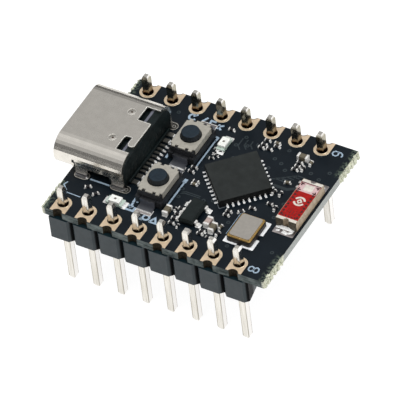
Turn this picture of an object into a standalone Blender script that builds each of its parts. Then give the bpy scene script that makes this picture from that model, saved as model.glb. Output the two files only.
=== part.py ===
"""Thumb-size microcontroller dev board with a USB-C socket, two push buttons and two pin headers.

Units are metres, +Z is up. The origin is under the middle of the object, at the pin tips.
Everything is placed in board coordinates, under an empty whose origin is the middle of the pin
grid on the board's top face: X runs from the socket to the antenna, Y from the front row of pins
to the back row.
"""

import math

import bmesh
import bpy
from mathutils import Matrix, Vector

MM = 0.001

# Board
BOARD_LEFT = -10.40 * MM
BOARD_RIGHT = 11.95 * MM
BOARD_HALF_WIDTH = 8.75 * MM
BOARD_THICKNESS = 0.80 * MM
HOLE_RADIUS = 0.50 * MM
EDGE_HOLE_RADIUS = 0.50 * MM
EDGE_HOLE_OUTSIDE = 0.17 * MM
BITE_COUNT = 5
BITE_PITCH = 0.62 * MM
BITE_RADIUS = 0.20 * MM
BITE_STUB = 0.12 * MM
BITE_END = 0.12 * MM  # from the last bite to the corner of the board

# Pin headers
PITCH = 2.54 * MM
PINS_PER_ROW = 8
ROW_Y = 7.62 * MM
STRIP_HEIGHT = 2.54 * MM
STRIP_CHAMFER = 0.38 * MM
PIN_WIDTH = 0.64 * MM
PIN_ABOVE = 2.10 * MM
PIN_BELOW = 9.30 * MM
PIN_TIP_LENGTH = 0.30 * MM
PIN_TIP_SHARE = 0.6
PIN_CLEARANCE = 0.03 * MM

# USB-C socket
USB_Y = 0.42 * MM
SHELL_FRONT = -11.76 * MM
SHELL_REAR = -4.80 * MM
SHELL_HALF_WIDTH = 4.47 * MM
SHELL_TOP = 3.24 * MM
SHELL_BOTTOM = 0.04 * MM
SHELL_WALL = 0.30 * MM
SHELL_OPEN_UNDER = -6.60 * MM
WINDOW_FRONT = -6.18 * MM
WINDOW_INNER = 1.05 * MM
WINDOW_OUTER = 2.88 * MM
WINDOW_CORNER = 0.25 * MM
HOOK_FRONT = -5.42 * MM
HOOK_TIP = 2.10 * MM
DIMPLE_X = -7.10 * MM
DIMPLE_Y = 1.73 * MM
DIMPLE_BALL = 0.55 * MM
DIMPLE_BALL_LIFT = 0.40 * MM
LEG_BOTTOM = -0.90 * MM
LEG_INSET = 0.02 * MM
ARCH_TOP = 1.10 * MM
ARCH_RADIUS = 0.40 * MM
FLARE = ((-0.65 * MM, 1.76 * MM), (-0.45 * MM, 1.15 * MM), (0, 0.75 * MM))
SLOT_HALF_WIDTH = 0.30 * MM
SLOT_CLEARANCE = 0.15 * MM
FRONT_LEG = (-9.65 * MM, -8.55 * MM)
REAR_LEG = (-5.95 * MM, -4.82 * MM)
HOUSING_FRONT = -6.50 * MM
HOUSING_REAR = -4.70 * MM
TONGUE_FRONT = -11.05 * MM
TONGUE_HALF_WIDTH = 3.34 * MM
TONGUE_HALF_HEIGHT = 0.35 * MM
MID_PLATE_THICKNESS = 0.15 * MM
TAIL_FRONT = -5.20 * MM
TAIL_REAR = -4.00 * MM
TAIL_THICKNESS = 0.15 * MM
COMB_HALF = 3.55 * MM
COMB_DEPTH = 0.25 * MM
RELIEF = 0.10 * MM
NARROW_TAIL = 0.24 * MM
WIDE_TAIL = 0.48 * MM
NARROW_TAIL_PITCH = 0.50 * MM
WIDE_TAIL_Y = (2.40 * MM, 3.20 * MM)
PEG_X = -5.75 * MM
PEG_Y = 2.89 * MM
PEG_RADIUS = 0.27 * MM
PEG_CLEARANCE = 0.06 * MM
PEG_BOTTOM = -0.60 * MM

# Push buttons
SWITCH_X = -1.84 * MM
BOOT_Y = -2.70 * MM
RESET_Y = 3.20 * MM
BASE_SIZE = (2.64 * MM, 4.06 * MM)
BASE_TOP = 0.75 * MM
CROWN_SIZE = (2.32 * MM, 3.66 * MM)
CROWN_TOP = 1.33 * MM
COVER_SIZE = (2.48 * MM, 3.60 * MM)
COVER_TOP = 1.50 * MM
COVER_THICKNESS = 0.13 * MM
COVER_FLANGE_LOW = 0.85 * MM
COVER_FLANGE_THICKNESS = 0.06 * MM
COVER_HOLE_RADIUS = 1.00 * MM
BUTTON_RADIUS = 0.94 * MM
BUTTON_TOP_RADIUS = 0.84 * MM
BUTTON_TOP = 2.02 * MM
BUTTON_FLANGE_RADIUS = 1.045 * MM
BUTTON_BOTTOM = 0.88 * MM
CAVITY_RADIUS = 1.08 * MM
CAVITY_FLOOR = 0.45 * MM
DOME_RADIUS = 1.03 * MM
DOME_RISE = 0.34 * MM
DOME_THICKNESS = 0.05 * MM
TERMINAL_HALF_WIDTH = 0.75 * MM
TERMINAL_THICKNESS = 0.15 * MM
TERMINAL_REACH = 2.85 * MM

# Processor, crystal, antenna
CHIP_AT = (4.05 * MM, 1.08 * MM)
CHIP_SIDE = 4.86 * MM
CHIP_TOP = 0.80 * MM
CRYSTAL_AT = (7.70 * MM, -4.07 * MM)
CRYSTAL_SIZE = (2.45 * MM, 3.12 * MM)
ANTENNA_AT = (10.66 * MM, 0.39 * MM)
ANTENNA_SIZE = (2.05 * MM, 5.20 * MM)
ANTENNA_TOP = 1.02 * MM
ANTENNA_NOTCH_RADIUS = 0.28 * MM

# Voltage regulator
REGULATOR_AT = (2.36 * MM, -4.14 * MM)
REGULATOR_SIZE = (1.44 * MM, 2.80 * MM)
REGULATOR_TOP = 0.74 * MM
LEAD_PITCH = 0.95 * MM
LEAD_WIDTH = 0.40 * MM
LEAD_THICKNESS = 0.13 * MM
LEAD_SHOULDER = 0.45 * MM
LEAD_REACH = 1.12 * MM

# Chip components
LED_SIZE = (1.60 * MM, 0.80 * MM)
LED_TOP = 0.55 * MM
CAPACITOR_SIZE = (1.00 * MM, 0.52 * MM, 0.50 * MM)

STANDOFF = 0.03 * MM
GAP = 0.02 * MM
ARC_STEPS = 8
WELD = 1e-8


def clear_scene():
    for obj in list(bpy.data.objects):
        bpy.data.objects.remove(obj, do_unlink=True)


def new_collection(name):
    collection = bpy.data.collections.new(name)
    bpy.context.scene.collection.children.link(collection)
    return collection


def new_material(name, colour, roughness, metallic=0.0):
    material = bpy.data.materials.new(name)
    material.use_nodes = True
    shader = material.node_tree.nodes["Principled BSDF"]
    shader.inputs["Base Color"].default_value = (*colour, 1.0)
    shader.inputs["Roughness"].default_value = roughness
    shader.inputs["Metallic"].default_value = metallic
    return material


clear_scene()
PARTS = new_collection("microcontroller_dev_board")
CUTTERS = new_collection("cutters")

BOARD = bpy.data.objects.new("board_top", None)
PARTS.objects.link(BOARD)
BOARD.location = (-(SHELL_FRONT + BOARD_RIGHT + BITE_STUB) / 2, 0, PIN_BELOW)

MASK = new_material("solder_mask", (0.012, 0.018, 0.022), 0.45)
HEADER_PLASTIC = new_material("header_plastic", (0.035, 0.038, 0.042), 0.55)
PIN_METAL = new_material("pin_metal", (0.80, 0.77, 0.70), 0.25, 1.0)
SHELL_METAL = new_material("shell_metal", (0.62, 0.60, 0.56), 0.32, 1.0)
SOCKET_PLASTIC = new_material("socket_plastic", (0.015, 0.018, 0.022), 0.5)
CONTACT_METAL = new_material("contact_metal", (0.78, 0.70, 0.50), 0.3, 1.0)
SWITCH_PLASTIC = new_material("switch_plastic", (0.02, 0.02, 0.022), 0.55)
COVER_METAL = new_material("cover_metal", (0.66, 0.65, 0.61), 0.4, 1.0)
BUTTON_PLASTIC = new_material("button_plastic", (0.03, 0.037, 0.047), 0.6)
SPRING_STEEL = new_material("spring_steel", (0.55, 0.55, 0.56), 0.3, 1.0)
TERMINAL_METAL = new_material("terminal_metal", (0.75, 0.75, 0.73), 0.3, 1.0)
EPOXY = new_material("epoxy", (0.028, 0.03, 0.032), 0.6)
CERAMIC = new_material("ceramic", (0.16, 0.12, 0.09), 0.6)
LID_METAL = new_material("lid_metal", (0.50, 0.46, 0.41), 0.35, 1.0)
GOLD = new_material("gold", (0.83, 0.60, 0.24), 0.3, 1.0)
ANTENNA_CERAMIC = new_material("antenna_ceramic", (0.62, 0.50, 0.38), 0.5)
LED_BODY = new_material("led_body", (0.75, 0.78, 0.74), 0.5)
LED_LENS = new_material("led_lens", (0.85, 0.87, 0.82), 0.25)
CAPACITOR_BODY = new_material("capacitor_body", (0.38, 0.27, 0.17), 0.5)


def place(name, mesh, material, at=(0, 0, 0), turn=0.0):
    """One named part, placed in board coordinates."""
    mesh.name = name
    obj = bpy.data.objects.new(name, mesh)
    PARTS.objects.link(obj)
    obj.parent = BOARD
    obj.location = at
    obj.rotation_euler.z = turn
    mesh.materials.clear()
    mesh.materials.append(material)
    return obj


def helper(obj, operation, tool):
    """A Boolean that cuts tool from obj, or joins it to obj. The tool itself isn't a part."""
    PARTS.objects.unlink(tool)
    CUTTERS.objects.link(tool)
    tool.hide_render = True
    tool.display_type = "WIRE"
    modifier = obj.modifiers.new(tool.name, "BOOLEAN")
    modifier.operation = operation
    modifier.solver = "EXACT"
    modifier.object = tool
    return obj


def bevel(obj, width, segments=1):
    modifier = obj.modifiers.new("edge", "BEVEL")
    modifier.width = width
    modifier.segments = segments
    modifier.limit_method = "ANGLE"
    modifier.angle_limit = math.radians(40)
    return obj


def smooth(obj, angle=35):
    obj.data.shade_smooth()
    obj.data.set_sharp_from_angle(angle=math.radians(angle))
    return obj


def mesh_of(shape, name):
    mesh = bpy.data.meshes.new(name)
    shape.to_mesh(mesh)
    shape.free()
    return mesh


def box_mesh(name, low, high):
    """A box between two corners."""
    shape = bmesh.new()
    bmesh.ops.create_cube(shape, size=1)
    low, high = Vector(low), Vector(high)
    bmesh.ops.scale(shape, vec=high - low, verts=shape.verts)
    bmesh.ops.translate(shape, vec=(low + high) / 2, verts=shape.verts)
    return mesh_of(shape, name)


def box(name, low, high, material, at=(0, 0, 0), turn=0.0):
    return place(name, box_mesh(name, low, high), material, at, turn)


def slab(name, size, low, high, material, at=(0, 0), turn=0.0):
    """A box of a plan size, centred on a place on the board, from one height to another."""
    half = Vector((size[0] / 2, size[1] / 2))
    return box(name, (-half.x, -half.y, low), (half.x, half.y, high), material, (*at, 0), turn)


def arc(centre, radius, start, end, steps=ARC_STEPS):
    """Points round a circle from one angle to another, in degrees, both ends included."""
    angles = [math.radians(start + (end - start) * k / steps) for k in range(steps + 1)]
    return [
        (centre[0] + radius * math.cos(a), centre[1] + radius * math.sin(a)) for a in angles
    ]


def circle(centre, radius, steps=2 * ARC_STEPS):
    return arc(centre, radius, 0, 360, steps)[:-1]


def rounded(low, high, radius, steps=ARC_STEPS // 2):
    """A rectangle with round corners, anticlockwise."""
    inner = (low[0] + radius, low[1] + radius), (high[0] - radius, high[1] - radius)
    corners = (
        ((inner[1][0], inner[0][1]), -90),
        ((inner[1][0], inner[1][1]), 0),
        ((inner[0][0], inner[1][1]), 90),
        ((inner[0][0], inner[0][1]), 180),
    )
    return [p for at, start in corners for p in arc(at, radius, start, start + 90, steps)]


# An outline's own first and second axes and its extrusion, for each direction of extrusion.
TURNED = {
    "Z": Matrix.Identity(3),
    "X": Matrix(((0, 0, 1), (1, 0, 0), (0, 1, 0))),
    "Y": Matrix(((1, 0, 0), (0, 0, 1), (0, 1, 0))),
}


def plate_mesh(name, loops, low, high, along="Z"):
    """Flat outlines, the first with the others as holes in it, extruded from low to high along an axis.

    An outline's two coordinates are X and Y along Z, Y and Z along X, X and Z along Y. A filled
    curve merges points closer than 0.03 mm, so it is drawn a thousand times too large.
    """
    curve = bpy.data.curves.new(name, "CURVE")
    curve.dimensions = "2D"
    curve.fill_mode = "BOTH"
    curve.extrude = (high - low) / 2 / MM
    for loop in loops:
        spline = curve.splines.new("POLY")
        spline.points.add(len(loop) - 1)
        for point, (u, v) in zip(spline.points, loop):
            point.co = (u / MM, v / MM, 0, 1)
        spline.use_cyclic_u = True
    guide = bpy.data.objects.new(name, curve)
    PARTS.objects.link(guide)
    graph = bpy.context.evaluated_depsgraph_get()
    mesh = bpy.data.meshes.new_from_object(guide.evaluated_get(graph))
    bpy.data.objects.remove(guide)
    bpy.data.curves.remove(curve)
    mesh.transform(Matrix.Scale(MM, 4))
    mesh.transform(Matrix.Translation((0, 0, (low + high) / 2)))
    mesh.transform(TURNED[along].to_4x4())
    shape = bmesh.new()
    shape.from_mesh(mesh)
    bmesh.ops.remove_doubles(shape, verts=shape.verts, dist=WELD)
    bmesh.ops.recalc_face_normals(shape, faces=shape.faces)
    shape.to_mesh(mesh)
    shape.free()
    return mesh


def plate(name, loops, low, high, material, at=(0, 0, 0), along="Z"):
    return place(name, plate_mesh(name, loops, low, high, along), material, at)


def turned_mesh(name, profile, steps):
    """A solid of revolution about Z.

    The profile is (radius, height) pairs, from the middle of the bottom to the middle of the top.
    """
    mesh = bpy.data.meshes.new(name)
    shape = bmesh.new()
    points = [shape.verts.new((radius, 0, height)) for radius, height in profile]
    edges = [shape.edges.new(pair) for pair in zip(points, points[1:])]
    bmesh.ops.spin(
        shape,
        geom=points + edges,
        cent=(0, 0, 0),
        axis=(0, 0, 1),
        angle=2 * math.pi,
        steps=steps,
        use_merge=True,
    )
    bmesh.ops.remove_doubles(shape, verts=shape.verts, dist=WELD)
    bmesh.ops.recalc_face_normals(shape, faces=shape.faces)
    shape.to_mesh(mesh)
    shape.free()
    return mesh


def pin_positions():
    first = -(PINS_PER_ROW - 1) / 2 * PITCH
    return [first + k * PITCH for k in range(PINS_PER_ROW)]


def long_edge():
    """The front edge from left to right, with the rest of a cut hole in line with each pin."""
    points = []
    dip = math.degrees(math.asin(EDGE_HOLE_OUTSIDE / EDGE_HOLE_RADIUS))
    for x in pin_positions():
        centre = (x, -BOARD_HALF_WIDTH - EDGE_HOLE_OUTSIDE)
        points += arc(centre, EDGE_HOLE_RADIUS, 180 - dip, dip)
    return points


def bites(from_y):
    """Scallops along the right edge, upwards from from_y, where the board was broken off its panel."""
    stub = BOARD_RIGHT + BITE_STUB
    points = [(stub, from_y)]
    for k in range(BITE_COUNT):
        y = from_y + (k + 0.5) * BITE_PITCH
        points += arc((stub, y), BITE_RADIUS, -90, -270, ARC_STEPS // 2)
    return points + [(stub, from_y + BITE_COUNT * BITE_PITCH)]


def short_edge():
    """The right edge from front to back: smooth in the middle, scalloped near both corners."""
    span = BITE_COUNT * BITE_PITCH
    corner = BOARD_HALF_WIDTH - BITE_END
    front = bites(-corner)
    back = bites(corner - span)
    return (
        [(BOARD_RIGHT, -BOARD_HALF_WIDTH), (BOARD_RIGHT, front[0][1])]
        + front
        + [(BOARD_RIGHT, front[-1][1]), (BOARD_RIGHT, back[0][1])]
        + back
        + [(BOARD_RIGHT, back[-1][1]), (BOARD_RIGHT, BOARD_HALF_WIDTH)]
    )


def board_outline():
    middle = (BOARD_LEFT + BOARD_RIGHT) / 2
    back = [(x, -y) for x, y in reversed(long_edge())]
    left = [(2 * middle - x, y) for x, y in reversed(short_edge())]
    return long_edge() + short_edge() + back + left


def leg_slots():
    slots = []
    for side in (-1, 1):
        y = USB_Y + side * (SHELL_HALF_WIDTH - SHELL_WALL / 2)
        for low, high in (FRONT_LEG, REAR_LEG):
            slots.append(
                rounded(
                    (low - SLOT_CLEARANCE, y - SLOT_HALF_WIDTH),
                    (high + SLOT_CLEARANCE, y + SLOT_HALF_WIDTH),
                    SLOT_HALF_WIDTH * 0.98,
                )
            )
    return slots


def make_board():
    holes = [circle((x, side * ROW_Y), HOLE_RADIUS) for x in pin_positions() for side in (-1, 1)]
    pegs = [circle((PEG_X, USB_Y + side * PEG_Y), PEG_RADIUS + PEG_CLEARANCE, 12) for side in (-1, 1)]
    loops = [board_outline(), *holes, *leg_slots(), *pegs]
    plate("pcb", loops, -BOARD_THICKNESS, 0, MASK)


def strip_outline(y):
    """A row of square cells with their corners cut off, which leaves a V between each two."""
    half, cut = PITCH / 2, STRIP_CHAMFER
    front = []
    for x in pin_positions():
        front += [(x - half + cut, -half), (x + half - cut, -half)]
        if x < pin_positions()[-1]:
            front.append((x + half, -half + cut))
    right = [(pin_positions()[-1] + half, -half + cut)]
    lower = front + right
    return [(x, y + v) for x, v in lower] + [(-x, y - v) for x, v in lower]


def make_strip(name, y):
    reach = PIN_WIDTH / 2 + PIN_CLEARANCE
    holes = [
        [(x - reach, y - reach), (x + reach, y - reach), (x + reach, y + reach), (x - reach, y + reach)]
        for x in pin_positions()
    ]
    top = -BOARD_THICKNESS - GAP
    plate(name, [strip_outline(y), *holes], top - STRIP_HEIGHT, top, HEADER_PLASTIC)


def pin_mesh():
    """A square pin with a tapered tip at both ends."""
    shape = bmesh.new()
    bmesh.ops.create_cube(shape, size=1)
    straight = PIN_ABOVE + PIN_BELOW - 2 * PIN_TIP_LENGTH
    bmesh.ops.scale(shape, vec=(PIN_WIDTH, PIN_WIDTH, straight), verts=shape.verts)
    middle = (PIN_ABOVE - PIN_BELOW) / 2
    bmesh.ops.translate(shape, vec=(0, 0, middle), verts=shape.verts)
    for end in (1, -1):
        face = max(shape.faces, key=lambda f: end * f.calc_center_median().z)
        tip = bmesh.ops.extrude_face_region(shape, geom=[face])["geom"]
        tip = [v for v in tip if isinstance(v, bmesh.types.BMVert)]
        bmesh.ops.scale(shape, vec=(PIN_TIP_SHARE, PIN_TIP_SHARE, 1), verts=tip)
        bmesh.ops.translate(shape, vec=(0, 0, end * PIN_TIP_LENGTH), verts=tip)
        bmesh.ops.delete(shape, geom=[face], context="FACES_ONLY")
    bmesh.ops.recalc_face_normals(shape, faces=shape.faces)
    return mesh_of(shape, "pin")


def make_headers():
    for row, y in (("front", -ROW_Y), ("back", ROW_Y)):
        make_strip(f"header_strip_{row}", y)
        for number, x in enumerate(pin_positions(), 1):
            place(f"pin_{row}_{number}", pin_mesh(), PIN_METAL, (x, y, 0))


def stadium(inset):
    """The socket's cross-section, moved in by inset: a rectangle whose ends are half circles."""
    low = (-SHELL_HALF_WIDTH + inset, SHELL_BOTTOM + inset)
    high = (SHELL_HALF_WIDTH - inset, SHELL_TOP - inset)
    radius = (high[1] - low[1]) / 2
    return rounded(low, high, radius * 0.995, ARC_STEPS)


def side_outline():
    """A side plate of the shell: two legs with an arch between them, the front one flared."""
    front, rear = FRONT_LEG, REAR_LEG
    radius = ARCH_RADIUS
    centre = ARCH_TOP - radius
    return [
        *((front[0] + x, z) for x, z in FLARE),
        (front[0], LEG_BOTTOM),
        (front[1], LEG_BOTTOM),
        *arc((front[1] + radius, centre), radius, 180, 90, 4),
        *arc((rear[0] - radius, centre), radius, 90, 0, 4),
        (rear[0], LEG_BOTTOM),
        (rear[1], LEG_BOTTOM),
        (rear[1], FLARE[0][1]),
    ]


def window_outlines():
    """The two openings at the back of the shell's top. One keeps a hook along the rear edge."""
    beyond = SHELL_REAR + 1 * MM
    plain = [
        (WINDOW_FRONT, WINDOW_INNER),
        (beyond, WINDOW_INNER),
        (beyond, WINDOW_OUTER),
        (WINDOW_FRONT, WINDOW_OUTER),
    ]
    radius = (SHELL_REAR - HOOK_FRONT) / 2
    shoulder = -HOOK_TIP + radius
    tip = arc((HOOK_FRONT + radius, shoulder), radius, 0, -180, 6)
    corner = (WINDOW_FRONT + WINDOW_CORNER, -WINDOW_INNER - WINDOW_CORNER)
    hooked = [
        (WINDOW_FRONT, -WINDOW_OUTER),
        (beyond, -WINDOW_OUTER),
        (beyond, shoulder),
        *tip,
        (HOOK_FRONT, -WINDOW_INNER),
        *arc(corner, WINDOW_CORNER, 90, 180, 4),
    ]
    return {"plain_window": plain, "hooked_window": hooked}


def make_shell():
    at = (0, USB_Y, 0)
    loops = [stadium(0), stadium(SHELL_WALL)]
    shell = plate("usb_shell", loops, SHELL_FRONT, SHELL_REAR, SHELL_METAL, at, along="X")
    middle = (SHELL_TOP + SHELL_BOTTOM) / 2
    under = box(
        "shell_underside",
        (SHELL_OPEN_UNDER, -6 * MM, -1 * MM),
        (SHELL_REAR + 1 * MM, 6 * MM, middle - 0.1 * MM),
        SHELL_METAL,
        at,
    )
    helper(shell, "DIFFERENCE", under)
    for name, side in (("front_side", -1), ("back_side", 1)):
        outer = side * (SHELL_HALF_WIDTH - LEG_INSET)
        inner = side * (SHELL_HALF_WIDTH - SHELL_WALL + LEG_INSET)
        low, high = sorted((outer, inner))
        legs = plate(name, [side_outline()], low, high, SHELL_METAL, at, along="Y")
        helper(shell, "UNION", legs)
    for name, outline in window_outlines().items():
        window = plate(name, [outline], 2 * MM, SHELL_TOP + 1 * MM, SHELL_METAL, at)
        helper(shell, "DIFFERENCE", window)
    for name, side in (("front_dimple", -1), ("back_dimple", 1)):
        shape = bmesh.new()
        bmesh.ops.create_uvsphere(shape, u_segments=16, v_segments=12, radius=DIMPLE_BALL)
        ball = place(
            name,
            mesh_of(shape, name),
            SHELL_METAL,
            (DIMPLE_X, USB_Y + side * DIMPLE_Y, SHELL_TOP + DIMPLE_BALL_LIFT),
        )
        helper(shell, "DIFFERENCE", ball)
    smooth(shell)


def make_socket_housing():
    """The black moulding behind the tongue: it fills the shell's rear and stands on the board."""
    at = (0, USB_Y, 0)
    inside = [stadium(SHELL_WALL + GAP)]
    housing = plate(
        "usb_housing", inside, HOUSING_FRONT, HOUSING_REAR, SOCKET_PLASTIC, at, along="X"
    )
    half = SHELL_HALF_WIDTH - SHELL_WALL - 2 * GAP
    foot = box(
        "housing_foot",
        (SHELL_OPEN_UNDER + 0.15 * MM, -half, STANDOFF),
        (HOUSING_REAR - 0.02 * MM, half, 1.6 * MM),
        SOCKET_PLASTIC,
        at,
    )
    helper(housing, "UNION", foot)
    for name, side in (("front_peg", -1), ("back_peg", 1)):
        outline = [circle((PEG_X, side * PEG_Y), PEG_RADIUS, 12)]
        peg = plate(name, outline, PEG_BOTTOM, 0.5 * MM, SOCKET_PLASTIC, at)
        helper(housing, "UNION", peg)
    relief = box(
        "tail_relief",
        (TAIL_FRONT - COMB_DEPTH - RELIEF, -COMB_HALF - RELIEF, -0.1 * MM),
        (HOUSING_REAR + 0.5 * MM, COMB_HALF + RELIEF, TAIL_THICKNESS + 2 * STANDOFF),
        SOCKET_PLASTIC,
        at,
    )
    helper(housing, "DIFFERENCE", relief)


def make_tongue():
    """The tongue that the plug goes over: a steel plate between two plastic halves."""
    at = (0, USB_Y, 0)
    middle = (SHELL_TOP + SHELL_BOTTOM) / 2
    rear = HOUSING_FRONT - GAP
    half_plate = MID_PLATE_THICKNESS / 2

    def layer(name, front, half, low, high, material):
        outline = rounded((front, -half), (rear, half), 0.25 * MM, 3)
        plate(name, [outline], middle + low, middle + high, material, at)

    plastic = (TONGUE_FRONT, TONGUE_HALF_WIDTH)
    layer("usb_tongue_upper", *plastic, half_plate + GAP, TONGUE_HALF_HEIGHT, SOCKET_PLASTIC)
    layer("usb_tongue_lower", *plastic, -TONGUE_HALF_HEIGHT, -half_plate - GAP, SOCKET_PLASTIC)
    steel = (TONGUE_FRONT - 0.06 * MM, TONGUE_HALF_WIDTH + 0.06 * MM)
    layer("usb_mid_plate", *steel, -half_plate, half_plate, TERMINAL_METAL)


def tails():
    """The (centre, width) of each solder tail behind the socket."""
    narrow = [((k - 3.5) * NARROW_TAIL_PITCH, NARROW_TAIL) for k in range(8)]
    wide = [(side * y, WIDE_TAIL) for side in (-1, 1) for y in WIDE_TAIL_Y]
    return sorted(narrow + wide)


def make_contacts():
    """The solder tails, which a strip hidden under the housing holds in one row."""
    front = TAIL_FRONT - COMB_DEPTH
    comb = [(front, COMB_HALF), (front, -COMB_HALF), (TAIL_FRONT, -COMB_HALF)]
    for centre, width in tails():
        low, high = centre - width / 2, centre + width / 2
        comb += [(TAIL_FRONT, low), (TAIL_REAR, low), (TAIL_REAR, high), (TAIL_FRONT, high)]
    comb.append((TAIL_FRONT, COMB_HALF))
    low = STANDOFF
    plate(
        "usb_contact_tails", [comb], low, low + TAIL_THICKNESS, CONTACT_METAL, (0, USB_Y, 0)
    )


def terminal_outline(side):
    """A gull-wing terminal seen along X: a foot on the board, a riser and a stub into the base."""
    t = TERMINAL_THICKNESS
    half = BASE_SIZE[1] / 2
    outline = [
        (TERMINAL_REACH, STANDOFF),
        (TERMINAL_REACH, STANDOFF + t),
        (half + GAP + t, STANDOFF + t),
        (half + GAP + t, BASE_TOP - 0.02 * MM),
        (half - 0.25 * MM, BASE_TOP - 0.02 * MM),
        (half - 0.25 * MM, BASE_TOP - 0.02 * MM - t),
        (half + GAP, BASE_TOP - 0.02 * MM - t),
        (half + GAP, STANDOFF),
    ]
    return [(side * y, z) for y, z in outline]


def cover_outline():
    """The cover's plan: a rectangle with its corners stepped and two notches at each end."""
    x, y = COVER_SIZE[0] / 2, COVER_SIZE[1] / 2
    step, notch, depth = 0.22 * MM, 0.17 * MM, 0.22 * MM
    outer, inner = -y + 0.30 * MM, -y + 0.26 * MM
    end = [(-x, outer), (-x + step, inner), (-x + step, -y)]
    for at in (-0.52 * MM, 0.52 * MM):
        end += [
            (at - notch, -y),
            (at - notch, -y + depth),
            (at + notch, -y + depth),
            (at + notch, -y),
        ]
    end += [(x - step, -y), (x - step, inner), (x, outer)]
    return end + [(-u, -v) for u, v in end]


def make_switch(name, y):
    """A surface-mount push button: base, snap dome, button, cover and two terminals."""
    at = (SWITCH_X, y, 0)
    base = slab(f"{name}_switch_base", BASE_SIZE, STANDOFF, BASE_TOP, SWITCH_PLASTIC, at[:2])
    crown = slab(f"{name}_crown", CROWN_SIZE, 0.3 * MM, CROWN_TOP, SWITCH_PLASTIC, at[:2])
    helper(base, "UNION", crown)
    well = plate(
        f"{name}_well",
        [circle((0, 0), CAVITY_RADIUS, 24)],
        CAVITY_FLOOR,
        2 * MM,
        SWITCH_PLASTIC,
        at,
    )
    helper(base, "DIFFERENCE", well)
    reach = BASE_SIZE[1] / 2
    for end, side in (("front", -1), ("back", 1)):
        low, high = sorted((side * (reach - 0.30 * MM), side * (reach + 0.30 * MM)))
        pocket = box(
            f"{name}_{end}_pocket",
            (-TERMINAL_HALF_WIDTH - 0.05 * MM, low, BASE_TOP - 0.22 * MM),
            (TERMINAL_HALF_WIDTH + 0.05 * MM, high, BASE_TOP + 0.02 * MM),
            SWITCH_PLASTIC,
            at,
        )
        helper(base, "DIFFERENCE", pocket)
        plate(
            f"{name}_terminal_{end}",
            [terminal_outline(side)],
            -TERMINAL_HALF_WIDTH,
            TERMINAL_HALF_WIDTH,
            TERMINAL_METAL,
            at,
            along="X",
        )
    make_dome(name, at)
    make_button(name, at)
    make_cover(name, at)


def make_dome(name, at):
    """A thin snap dome, clicked flat by the button."""
    floor = CAVITY_FLOOR + GAP
    sphere = (DOME_RADIUS**2 + DOME_RISE**2) / (2 * DOME_RISE)
    opening = math.degrees(math.asin(DOME_RADIUS / sphere))
    centre = (0, floor + DOME_RISE - sphere)
    under = arc(centre, sphere - DOME_THICKNESS, 90, 90 - opening, 5)
    over = arc(centre, sphere, 90 - opening, 90, 5)
    profile = [(max(r, 0), h) for r, h in under + over]
    mesh = turned_mesh(f"{name}_dome", profile, 20)
    smooth(place(f"{name}_switch_dome", mesh, SPRING_STEEL, at))


def make_button(name, at):
    profile = [
        (0, BUTTON_BOTTOM),
        (BUTTON_FLANGE_RADIUS, BUTTON_BOTTOM),
        (BUTTON_FLANGE_RADIUS, COVER_TOP - COVER_THICKNESS - 0.05 * MM),
        (BUTTON_RADIUS, COVER_TOP - COVER_THICKNESS - 0.05 * MM),
        (BUTTON_RADIUS, COVER_TOP + 0.1 * MM),
        *[
            (BUTTON_TOP_RADIUS - 0.1 * MM + u, BUTTON_TOP - 0.1 * MM + v)
            for u, v in arc((0, 0), 0.1 * MM, 10, 90, 3)
        ],
        (0, BUTTON_TOP),
    ]
    mesh = turned_mesh(f"{name}_button", profile, 24)
    smooth(place(f"{name}_button", mesh, BUTTON_PLASTIC, at))


def make_cover(name, at):
    """The metal frame over the base, with a flange down each long side."""
    hole = circle((0, 0), COVER_HOLE_RADIUS, 24)
    low = COVER_TOP - COVER_THICKNESS
    cover = plate(f"{name}_switch_cover", [cover_outline(), hole], low, COVER_TOP, COVER_METAL, at)
    for side_name, side in (("left", -1), ("right", 1)):
        x = COVER_SIZE[0] / 2
        edges = sorted((side * (x - 0.004 * MM), side * (x - COVER_FLANGE_THICKNESS)))
        reach = COVER_SIZE[1] / 2 - 0.35 * MM
        flange = box(
            f"{name}_{side_name}_flange",
            (edges[0], -reach, COVER_FLANGE_LOW),
            (edges[1], reach, COVER_TOP - 0.02 * MM),
            COVER_METAL,
            at,
        )
        helper(cover, "UNION", flange)


def make_processor():
    size = (CHIP_SIDE, CHIP_SIDE)
    chip = slab("processor_chip", size, STANDOFF, CHIP_TOP, EPOXY, CHIP_AT, math.radians(45))
    bevel(chip, 0.04 * MM)


def make_crystal():
    def layer(name, inset, low, high, material):
        half = [side / 2 - inset for side in CRYSTAL_SIZE]
        outline = rounded((-half[0], -half[1]), half, 0.25 * MM, 4)
        plate(name, [outline], low, high, material, (*CRYSTAL_AT, 0))

    base_top, ring_top, lid_top = 0.50 * MM, 0.62 * MM, 0.76 * MM
    layer("crystal_base", 0, STANDOFF, base_top, CERAMIC)
    layer("crystal_seal_ring", 0.06 * MM, base_top + GAP, ring_top, GOLD)
    layer("crystal_lid", 0.20 * MM, ring_top + GAP, lid_top, LID_METAL)


def make_antenna():
    """A ceramic block with a half-round groove down each end."""
    x, y = ANTENNA_SIZE[0] / 2, ANTENNA_SIZE[1] / 2
    groove = arc((0, -y), ANTENNA_NOTCH_RADIUS, 180, 0, 6)
    end = [(-x, -y), *groove, (x, -y)]
    outline = end + [(-u, -v) for u, v in end]
    plate("chip_antenna", [outline], STANDOFF, ANTENNA_TOP, ANTENNA_CERAMIC, (*ANTENNA_AT, 0))


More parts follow.
